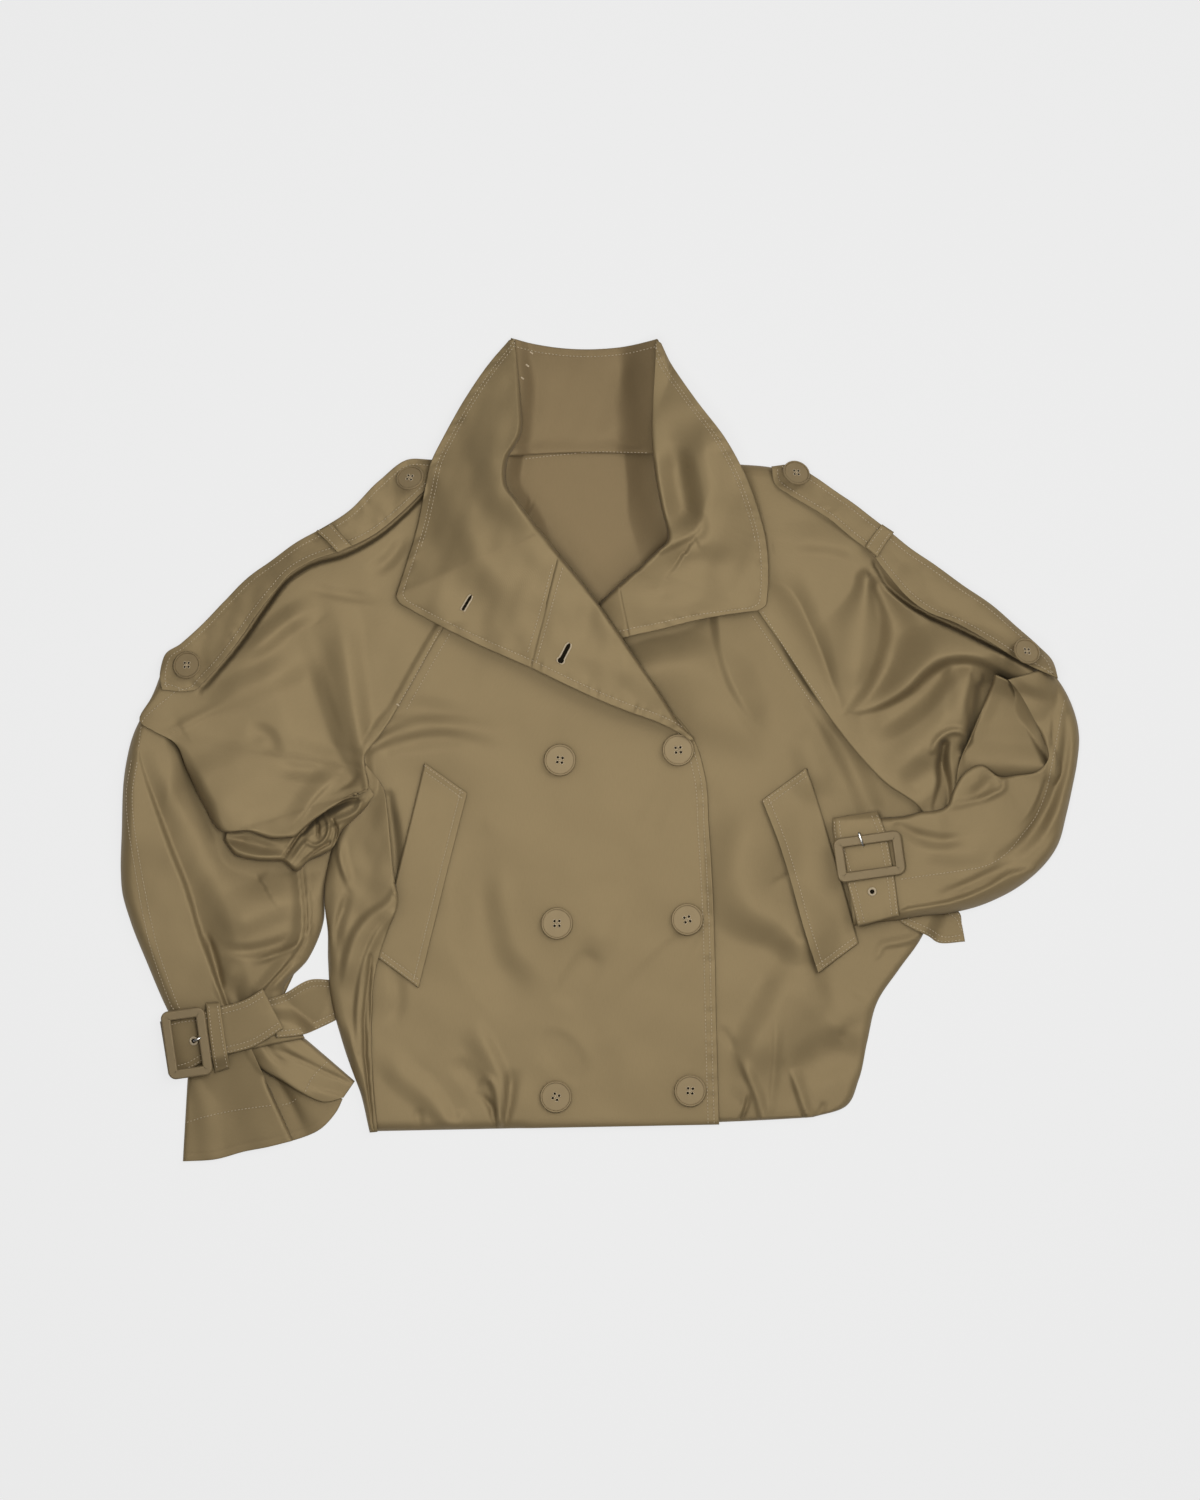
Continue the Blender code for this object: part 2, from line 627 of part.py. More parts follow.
@dataclass
class Panel:
    """One cut piece of cloth: its sections, its mesh counts and how it lies."""

    name: str
    sections: list
    rows: int
    columns: int
    wall: float = SHELL
    folds: list = field(default_factory=list)
    rolled: str = ""  # edges that roll down to what lies beneath: a, b, first, last
    roll: float = 0.010
    reach: float = 0.009
    lift: float = 0.0
    colour: tuple = CLOTH_COLOUR

    def top(self, pile):
        """The panel's top surface as an array of rows by columns by xyz."""
        edges = self.rolled.split()
        shares_v = spaced(self.rows, "first" in edges, "last" in edges)
        shares_u = spaced(self.columns, "a" in edges, "b" in edges)
        table = lofted(self.sections, shares_v)
        ax, ay, bx, by, bow, ha, hb = [table[:, k, None] for k in range(7)]
        u = shares_u[None, :]
        width = np.hypot(bx - ax, by - ay)
        side = 4 * u * (1 - u) * bow / np.maximum(width, 1e-6)
        across = ax + (bx - ax) * u + (by - ay) * side
        down = ay + (by - ay) * u - (bx - ax) * side
        x, y = place(across, down)
        beneath = pile.under(x, y, self.reach)
        least = beneath + self.wall + np.where(beneath > 0, SEAM_GAP, 0) + self.lift
        height = (ha + (hb - ha) * u) * MM
        height = np.maximum(height + relief(x, y, self.folds), least)
        rise = np.ones_like(x)
        gap_a, gap_b = u * width * UNIT, (1 - u) * width * UNIT
        rows_run = np.linalg.norm(np.diff(np.stack([x, y], -1), axis=0), axis=-1)
        run = np.vstack([np.zeros((1, rows_run.shape[1])), np.cumsum(rows_run, axis=0)])
        distance = {"a": gap_a, "b": gap_b, "first": run, "last": run[-1:] - run}
        for edge in edges:
            near = np.clip(distance[edge] / self.roll, 0, 1)
            rise = rise * np.sqrt(np.maximum(1 - (1 - near) ** 2, 0))
        return np.stack([x, y, least + (height - least) * rise], -1)

    def build(self, pile, collection):
        """Makes the panel's object and returns its top surface."""
        grid = self.top(pile)
        rows, columns = grid.shape[:2]
        shell = bmesh.new()
        bmesh.ops.create_grid(shell, x_segments=rows - 1, y_segments=columns - 1, size=1)
        shell.verts.ensure_lookup_table()
        for vertex in shell.verts:
            row = round((vertex.co.x + 1) / 2 * (rows - 1))
            column = round((vertex.co.y + 1) / 2 * (columns - 1))
            vertex.co = grid[row, column]
        shell.normal_update()
        if sum(face.normal.z * face.calc_area() for face in shell.faces) < 0:
            bmesh.ops.reverse_faces(shell, faces=shell.faces)
        bmesh.ops.triangulate(shell, faces=shell.faces)
        for edge in shell.edges:
            edge.smooth = not edge.is_boundary
        made = linked(self.name, shell, collection, self.colour)
        solid = made.modifiers.new("Wall", "SOLIDIFY")
        solid.thickness = self.wall
        solid.offset = -1
        return grid


def linked(name, shell, collection, colour, metallic=0.0, roughness=0.85):
    """A mesh object made from a bmesh, in the collection, with its own material."""
    mesh = bpy.data.meshes.new(name)
    shell.to_mesh(mesh)
    shell.free()
    made = bpy.data.objects.new(name, mesh)
    collection.objects.link(made)
    material = bpy.data.materials.new(name)
    material.use_nodes = True
    surface = material.node_tree.nodes["Principled BSDF"]
    surface.inputs["Base Color"].default_value = colour
    surface.inputs["Metallic"].default_value = metallic
    surface.inputs["Roughness"].default_value = roughness
    mesh.materials.append(material)
    mesh.shade_smooth()
    return made


def turned(name, profile, collection, colour, steps=12):
    """A round piece turned about Z from its profile of (radius, height) pairs, top to bottom."""
    outline = bmesh.new()
    points = [outline.verts.new((radius, 0, height)) for radius, height in profile]
    for first, second in zip(points, points[1:]):
        outline.edges.new((first, second))
    made = linked(name, outline, collection, colour, roughness=0.45)
    screw = made.modifiers.new("Turn", "SCREW")
    screw.steps = steps
    screw.render_steps = steps
    screw.use_merge_vertices = True
    screw.merge_threshold = 0.00005
    screw.use_smooth_shade = True
    return made


def button(name, diameter, spot, pile, collection):
    """A round button with a raised rim, standing on what lies at its spot of the layout."""
    radius = diameter / 2
    profile = [
        (0, BUTTON_HEIGHT * 0.78),
        (radius * 0.76, BUTTON_HEIGHT * 0.78),
        (radius * 0.86, BUTTON_HEIGHT),
        (radius, BUTTON_HEIGHT * 0.55),
        (radius * 0.82, 0),
        (0, 0),
    ]
    made = turned(name, profile, collection, TRIM_COLOUR)
    x, y = place(*spot)
    made.location = (x, y, pile.crown(x, y, radius) + SEAM_GAP)
    pile.lay_disc(x, y, radius, made.location.z + BUTTON_HEIGHT)


def rounded_box(width, height, corner, steps=3):
    """The outline of a box with rounded corners, centred on the origin."""
    points = []
    for turn, (sx, sy) in enumerate([(1, 1), (-1, 1), (-1, -1), (1, -1)]):
        for step in range(steps + 1):
            angle = math.pi / 2 * (turn + step / steps)
            points.append((
                sx * (width / 2 - corner) + corner * math.cos(angle),
                sy * (height / 2 - corner) + corner * math.sin(angle),
            ))
    return points


def plate(name, outlines, thickness, collection, colour, metallic=0.0):
    """A flat plate with holes, from its outlines, made a welded mesh."""
    curve = bpy.data.curves.new(name, "CURVE")
    curve.dimensions = "2D"
    curve.fill_mode = "BOTH"
    curve.extrude = thickness / 2
    for outline in outlines:
        spline = curve.splines.new("POLY")
        spline.points.add(len(outline) - 1)
        for point, (x, y) in zip(spline.points, outline):
            point.co = (x, y, 0, 1)
        spline.use_cyclic_u = True
    drawn = bpy.data.objects.new(name + "_outline", curve)
    collection.objects.link(drawn)
    graph = bpy.context.evaluated_depsgraph_get()
    flat = bpy.data.meshes.new_from_object(drawn.evaluated_get(graph))
    bpy.data.objects.remove(drawn)
    shell = bmesh.new()
    shell.from_mesh(flat)
    bmesh.ops.remove_doubles(shell, verts=shell.verts, dist=0.00001)
    made = linked(name, shell, collection, colour, metallic, 0.5)
    made.data.set_sharp_from_angle(angle=SHARP_ANGLE)
    return made


def buckle(name, spot, turn, pile, collection):
    """A covered strap buckle, a flat frame that lies round the strap, turned on the layout."""
    outer = rounded_box(BUCKLE_WIDTH, BUCKLE_LENGTH, 0.004)
    inner = rounded_box(BUCKLE_WIDTH - 2 * BUCKLE_BAR, BUCKLE_LENGTH - 2 * BUCKLE_BAR, 0.002)
    made = plate(name, [outer, inner], BUCKLE_HEIGHT, collection, TRIM_COLOUR)
    x, y = place(*spot)
    made.location = (x, y, pile.crown(x, y, BUCKLE_LENGTH * 0.58) + SEAM_GAP + BUCKLE_HEIGHT / 2)
    made.rotation_euler = (0, 0, turn)
    return made.location.z + BUCKLE_HEIGHT / 2


def prong(name, start, end, height, collection):
    """A metal pin across the strap from the buckle's bar."""
    ends = [Vector((*place(*spot), height)) for spot in (start, end)]
    run = ends[1] - ends[0]
    shell = bmesh.new()
    bmesh.ops.create_cone(
        shell, cap_ends=True, segments=8, radius1=PRONG / 2, radius2=PRONG / 2, depth=run.length
    )
    made = linked(name, shell, collection, METAL_COLOUR, 1.0, 0.3)
    made.location = (ends[0] + ends[1]) / 2
    made.rotation_euler = run.to_track_quat("Z", "Y").to_euler()


def cleared():
    """Removes what the scene holds and gives the part's collection."""
    for old in list(bpy.data.objects):
        bpy.data.objects.remove(old, do_unlink=True)
    collection = bpy.data.collections.new("trench_jacket")
    bpy.context.scene.collection.children.link(collection)
    return collection


def main():
    """Lays the jacket down from the floor up."""
    jacket = cleared()
    pile = Pile()

    def lay(panel):
        pile.lay(panel.build(pile, jacket))

    # The layers on the floor.
    lay(Panel("back", BACK, 12, 9, colour=LINING_COLOUR))
    lay(Panel("collar_back", COLLAR_BACK, 6, 18, DOUBLE, folds=COLLAR_BACK_FOLDS))
    lay(Panel("sleeve_right_under", RIGHT_SLEEVE_UNDER, 12, 5))
    lay(Panel("cuff_right_under", RIGHT_CUFF_UNDER, 8, 4))

    # The wearer's left front, then the sleeve that is folded back across it.
    lay(Panel("front_left", LEFT_FRONT, 18, 12, folds=FOLDS, rolled="b last", roll=0.009))
    lay(Panel("welt_left", LEFT_WELT, 9, 3, DOUBLE))
    lay(Panel("strap_left_tail", LEFT_STRAP_TAIL, 8, 3, STRAP))
    lay(Panel("sleeve_left_under", LEFT_SLEEVE_UNDER, 22, 6, reach=0.015))
    lay(Panel("sleeve_left", LEFT_SLEEVE_UPPER, 20, 12, folds=FOLDS, rolled="a", roll=0.012))
    lay(Panel("sleeve_left_fore", LEFT_SLEEVE_LOWER, 30, 8, folds=FOLDS, rolled="a b", roll=0.010))
    lay(Panel("strap_left", LEFT_STRAP, 10, 4, STRAP, reach=0.012))

    # The wearer's right sleeve, front and side.
    lay(Panel("cuff_right", RIGHT_CUFF, 14, 6, folds=FOLDS, rolled="first", roll=0.008))
    lay(Panel("sleeve_right_fore", RIGHT_SLEEVE_LOWER, 18, 10, folds=FOLDS, rolled="a b", roll=0.012))
    lay(Panel("strap_right_tail", RIGHT_STRAP_TAIL, 5, 3, STRAP))
    lay(Panel("front_right", RIGHT_FRONT, 22, 16, folds=FOLDS, rolled="last", roll=0.009))
    lay(Panel("welt_right", RIGHT_WELT, 10, 3, DOUBLE))
    lay(Panel("side_right", RIGHT_SIDE, 22, 7, folds=FOLDS, rolled="a", roll=0.010))
    lay(Panel("sleeve_right_fold", RIGHT_SLEEVE_FOLD, 14, 5, rolled="a b", roll=0.009))
    lay(Panel("sleeve_right", RIGHT_SLEEVE_UPPER, 22, 12, folds=FOLDS, rolled="a last", roll=0.010))
    lay(Panel("strap_right", RIGHT_STRAP, 10, 4, STRAP))
    lay(Panel("keeper_right", RIGHT_KEEPER, 4, 2, STRAP))

    # Shoulder straps.
    lay(Panel("epaulette_right", RIGHT_EPAULETTE, 22, 3, DOUBLE))
    lay(Panel("epaulette_left", LEFT_EPAULETTE, 22, 3, DOUBLE))
    lay(Panel("epaulette_loop_right", RIGHT_EPAULETTE_LOOP, 4, 2, STRAP))
    lay(Panel("epaulette_loop_left", LEFT_EPAULETTE_LOOP, 4, 2, STRAP))

    # Buttons, under the collar where it covers them.
    for name, diameter, spot in BUTTONS:
        button(name, diameter, spot, pile, jacket)

    # Collar and lapels.
    lay(Panel("lapel_left", LEFT_LAPEL, 4, 4, DOUBLE, rolled="b", roll=0.008))
    lay(Panel("collar_left", LEFT_COLLAR, 22, 11, DOUBLE, folds=COLLAR_FOLDS, rolled="b", roll=0.014))
    lay(Panel("lapel_right", RIGHT_LAPEL, 12, 6, DOUBLE, rolled="b", roll=0.012))
    lay(Panel("collar_right", RIGHT_COLLAR, 20, 9, DOUBLE, rolled="b", roll=0.014))

    # Cuff buckles.
    for name, spot, turn, pin_start, pin_end in BUCKLES:
        top = buckle(f"buckle_{name}", spot, math.radians(turn), pile, jacket)
        prong(f"prong_{name}", pin_start, pin_end, top + PRONG / 2 + SEAM_GAP, jacket)


main()
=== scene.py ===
"""Dresses a cropped double-breasted trench coat, laid flat face up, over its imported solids.

The coat is laid down panel by panel, from the floor up. Each panel is lofted between the two edges
that its table of sections names, then rests on the pile of all that was laid before it. Tables of
folds shape the cloth. Seams are stitched, and buttons and buckles set, once the cloth lies there.

The tables are drawn on a layout grid: `across` runs right and `down` runs towards the hem, in units
of the coat's width over Plan.WIDTH. Heights and the widths of folds are in millimetres there. All
other lengths are in metres.
"""

from __future__ import annotations

import logging
import math
from dataclasses import dataclass, field
from enum import Enum
from functools import cache
from typing import NamedTuple, Sequence

import bmesh
import bpy
import numpy as np
from mathutils import Matrix, Vector
from mathutils.bvhtree import BVHTree


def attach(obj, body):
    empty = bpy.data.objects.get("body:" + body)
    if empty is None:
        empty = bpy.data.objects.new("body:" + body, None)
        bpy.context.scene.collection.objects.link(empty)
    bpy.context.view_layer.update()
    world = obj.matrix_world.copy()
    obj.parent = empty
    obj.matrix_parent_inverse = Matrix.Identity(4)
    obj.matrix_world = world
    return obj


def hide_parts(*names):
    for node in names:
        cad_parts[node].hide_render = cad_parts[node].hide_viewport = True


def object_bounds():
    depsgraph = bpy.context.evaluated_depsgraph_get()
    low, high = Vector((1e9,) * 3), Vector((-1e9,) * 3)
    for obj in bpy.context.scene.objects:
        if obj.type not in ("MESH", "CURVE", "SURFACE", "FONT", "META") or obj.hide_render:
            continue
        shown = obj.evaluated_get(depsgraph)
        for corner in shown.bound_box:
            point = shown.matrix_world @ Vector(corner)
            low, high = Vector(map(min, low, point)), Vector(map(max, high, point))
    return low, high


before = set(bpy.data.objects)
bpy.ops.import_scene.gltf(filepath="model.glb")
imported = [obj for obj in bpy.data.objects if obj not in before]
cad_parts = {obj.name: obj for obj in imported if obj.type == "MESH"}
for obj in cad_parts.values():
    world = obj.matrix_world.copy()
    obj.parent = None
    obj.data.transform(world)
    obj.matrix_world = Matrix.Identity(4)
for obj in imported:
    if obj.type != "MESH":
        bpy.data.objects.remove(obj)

LOG = logging.getLogger("coat")
MM = 0.001
CAD_LOW, CAD_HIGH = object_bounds()
BODY = "root"

Points = np.ndarray
Spot = tuple[float, float]
Colour = tuple[float, float, float]
Tree = bpy.types.NodeTree
Node = bpy.types.Node
Socket = bpy.types.NodeSocket
Material = bpy.types.Material
Piece = bpy.types.Object


class Plan:
    """The coat's plan: the layout grid and where it lies in the frame."""

    WIDTH = 958
    CENTRE = (600.0, 749.8)
    UNIT = (CAD_HIGH.x - CAD_LOW.x) / WIDTH
    MIDDLE = ((CAD_HIGH.x + CAD_LOW.x) / 2, (CAD_HIGH.y + CAD_LOW.y) / 2)

    @classmethod
    def place(cls, across: Points, down: Points) -> tuple[Points, Points]:
        """Turns layout places into metres.

        Args:
            across: Places to the right, in layout units.
            down: Places towards the hem, in layout units.

        Returns:
            The x and y of each place.
        """
        x = (np.asarray(across, float) - cls.CENTRE[0]) * cls.UNIT + cls.MIDDLE[0]
        y = (cls.CENTRE[1] - np.asarray(down, float)) * cls.UNIT + cls.MIDDLE[1]
        return x, y


class Section(NamedTuple):
    """A line across a panel from edge a to edge b, and the cloth's height at each, in mm."""

    ax: float
    ay: float
    bx: float
    by: float
    ha: float = 0
    hb: float = 0
    bow: float = 0


def sections(*rows: tuple[float, ...]) -> list[Section]:
    """A panel's table. Its rows have Section's columns, and what a row leaves out is 0."""
    return [Section(*row) for row in rows]


class Fold(NamedTuple):
    """A fold whose crest runs along a smooth path, written as across,down for each place.

    Its flanks are `before` and `after` mm wide: after lies right of a crest that runs down, and above
    one that runs right. A negative height, in mm, is a trough. sharp is from 0, a round crest, to 1,
    a crease. w0 and w1 scale the flanks at the path's start and end, and h0 and h1 the height.
    """

    path: str
    before: float
    after: float
    height: float
    sharp: float = 0.0
    w0: float = 1.0
    w1: float = 1.0
    h0: float = 0.0
    h1: float = 0.0


def eased(t: Points) -> Points:
    """0 to 1 with level ends."""
    t = np.clip(t, 0, 1)
    return t * t * (3 - 2 * t)


def waves(x: Points, y: Points, size: float, seed: int) -> Points:
    """Smooth uneven waves between about -1 and 1.

    Args:
        x, y: The places.
        size: The usual distance from crest to crest.
        seed: Chooses the waves.

    Returns:
        A value for each place.
    """
    dice = np.random.default_rng(seed)
    total = np.zeros(np.broadcast(x, y).shape)
    count = 9
    for _ in range(count):
        angle, phase = dice.uniform(0, 2 * math.pi, 2)
        pitch = size * dice.uniform(0.7, 1.6)
        way = (x * math.cos(angle) + y * math.sin(angle)) / pitch * 2 * math.pi
        total += np.sin(way + phase)
    return total / math.sqrt(count)


@dataclass(frozen=True)
class FoldField:
    """The folds of one stretch of cloth."""

    folds: tuple[Fold, ...] = ()
    slack: float = 0.5
    slack_size: float = 75.0
    seed: int = 3

    def relief(self, x: Points, y: Points) -> Points:
        """Height that the folds add.

        Args:
            x, y: The places.

        Returns:
            The added height at each place.
        """
        total = waves(x, y, self.slack_size * MM, self.seed) * self.slack * MM
        total += waves(x, y, self.slack_size * 0.42 * MM, self.seed + 1) * self.slack * 0.3 * MM
        for fold in self.folds:
            total += self.one(fold, x, y)
        return total

    @staticmethod
    def one(fold: Fold, x: Points, y: Points) -> Points:
        """Height that one fold adds.

        Args:
            fold: The fold.
            x, y: The places.

        Returns:
            The added height at each place.
        """
        line = smooth_line([spot.split(",") for spot in fold.path.split()], 6)
        widest = max(fold.before, fold.after) * max(fold.w0, fold.w1, 1) * MM * 1.3
        low, high = line.min(axis=0) - widest, line.max(axis=0) + widest
        near = (x > low[0]) & (x < high[0]) & (y > low[1]) & (y < high[1])
        added = np.zeros_like(x)
        if not near.any():
            return added
        spots = np.stack([x[near], y[near]], -1)[:, None, :]
        runs = np.diff(line, axis=0)
        lengths = np.linalg.norm(runs, axis=1)
        away = spots - line[None, :-1, :]
        share = np.clip((away * runs).sum(-1) / lengths**2, 0, 1)
        off = away - share[..., None] * runs
        distance = np.linalg.norm(off, axis=-1)
        best = distance.argmin(axis=1)
        rows = np.arange(len(best))
        d = distance[rows, best]
        walked = np.concatenate([[0], np.cumsum(lengths)])
        s = (walked[best] + share[rows, best] * lengths[best]) / walked[-1]
        turn = runs[best, 0] * away[rows, best, 1] - runs[best, 1] * away[rows, best, 0]
        scale = fold.w0 + (1 - fold.w0) * eased(s / 0.5)
        scale = scale + (fold.w1 - 1) * eased((s - 0.5) / 0.5)
        flank = np.where(turn > 0, fold.after, fold.before) * scale * MM * (1.3 - fold.sharp)
        level = fold.h0 + (1 - fold.h0) * eased(s / 0.35)
        level = level * (1 + (fold.h1 - 1) * eased((s - 0.65) / 0.35))
        close = np.clip(1 - d / flank, 0, 1)
        profile = (1 - fold.sharp) * eased(close) + fold.sharp * close**1.6
        added[near] = fold.height * MM * profile * level
        return added


class Pile:
    """Height of everything laid down so far, on a square grid over the plan."""

    CELL = 0.0015
    MARGIN = 0.04

    def __init__(self) -> None:
        """Starts with a bare floor."""
        self.low = (CAD_LOW.x - self.MARGIN, CAD_LOW.y - self.MARGIN)
        span = (CAD_HIGH.x - CAD_LOW.x, CAD_HIGH.y - CAD_LOW.y)
        shape = [int((length + 2 * self.MARGIN) / self.CELL) + 2 for length in span]
        self.height = np.zeros(shape)

    def cell(self, x: Points, y: Points) -> tuple[Points, Points]:
        """Row and column of each place, not rounded."""
        return (x - self.low[0]) / self.CELL, (y - self.low[1]) / self.CELL

    def spread(self, reach: float) -> Points:
        """The heights, each carried outwards and smoothed.

        Args:
            reach: How far they are carried.

        Returns:
            The new heights.
        """
        n = max(1, round(reach / self.CELL))
        high = self.height
        for axis in (0, 1):
            high = np.max([np.roll(high, k, axis) for k in range(-n, n + 1)], axis=0)
        for axis in (0, 1):
            high = np.mean([np.roll(high, k, axis) for k in range(-n, n + 1)], axis=0)
        return high

    def under(self, x: Points, y: Points, reach: float) -> Points:
        """The height that a piece has to clear.

        Args:
            x, y: The places.
            reach: How far a height is felt round it.

        Returns:
            The height at each place.
        """
        high = self.spread(reach)
        i, j = self.cell(x, y)
        i0, j0 = np.floor(i).astype(int), np.floor(j).astype(int)
        fi, fj = i - i0, j - j0
        return (
            high[i0, j0] * (1 - fi) * (1 - fj) + high[i0 + 1, j0] * fi * (1 - fj)
            + high[i0, j0 + 1] * (1 - fi) * fj + high[i0 + 1, j0 + 1] * fi * fj
        )

    def kept(self) -> "Pile":
        """A copy of the pile as it is now."""
        copy = Pile()
        copy.height = self.height.copy()
        return copy

    def crown(self, x: float, y: float, radius: float) -> float:
        """The greatest height round a place.

        Args:
            x, y: The place.
            radius: How far round it to look.

        Returns:
            The height.
        """
        i, j = self.cell(x, y)
        rows, columns = np.indices(self.height.shape)
        near = (rows - i) ** 2 + (columns - j) ** 2 <= (radius / self.CELL + 0.7) ** 2
        return float(self.height[near].max())

    def lay_disc(self, x: float, y: float, radius: float, top: float) -> None:
        """Adds a flat round piece.

        Args:
            x, y: Its middle.
            radius: Its radius.
            top: The height of its top.
        """
        i, j = self.cell(x, y)
        rows, columns = np.indices(self.height.shape)
        inside = (rows - i) ** 2 + (columns - j) ** 2 <= (radius / self.CELL) ** 2
        self.height[inside] = np.maximum(self.height[inside], top)

    def lay(self, grid: Points) -> None:
        """Adds a panel's top surface.

        Args:
            grid: Rows by columns by xyz.
        """
        fine = refined(refined(grid, 0, self.CELL), 1, self.CELL)
        i, j = self.cell(fine[..., 0], fine[..., 1])
        np.maximum.at(self.height, (np.rint(i).astype(int), np.rint(j).astype(int)), fine[..., 2])


def linked(name: str, data: bpy.types.ID) -> Piece:
    """An object in the scene."""
    made = bpy.data.objects.new(name, data)
    bpy.context.scene.collection.objects.link(made)
    return made


def circle(count: int, radius: float = 1.0) -> list[Spot]:
    """Even points round a circle, from the x axis on."""
    turns = (2 * math.pi * k / count for k in range(count))
    return [(radius * math.cos(turn), radius * math.sin(turn)) for turn in turns]


def refined(grid: Points, axis: int, step: float) -> Points:
    """Adds straight in-between points along one axis.

    Args:
        grid: Rows by columns by xyz.
        axis: 0 for rows, 1 for columns.
        step: The most that neighbours may be apart.

    Returns:
        The finer grid.
    """
    gap = np.linalg.norm(np.diff(grid, axis=axis), axis=-1).max()
    parts = max(1, math.ceil(gap / step))
    count = grid.shape[axis]
    at = np.linspace(0, count - 1, (count - 1) * parts + 1)
    low = np.clip(np.floor(at).astype(int), 0, count - 2)
    share = (at - low).reshape([-1 if k == axis else 1 for k in range(3)])
    first, second = np.take(grid, low, axis), np.take(grid, low + 1, axis)
    return first + (second - first) * share


FACED = 2.2 * MM
DOUBLED = 2.0 * MM


class Edge(Enum):
    """How an edge of a panel is finished."""

    PLAIN = "a bare edge"
    TUCKED = "runs on a little under the piece sewn to it"
    TURNED = "turned under, a soft thin edge"
    ROLLED = "rolls over and down to what lies beneath"

    def at(self, *names: str) -> dict[str, "Edge"]:
        """This finish for some edges of a panel."""
        return dict.fromkeys(names, self)


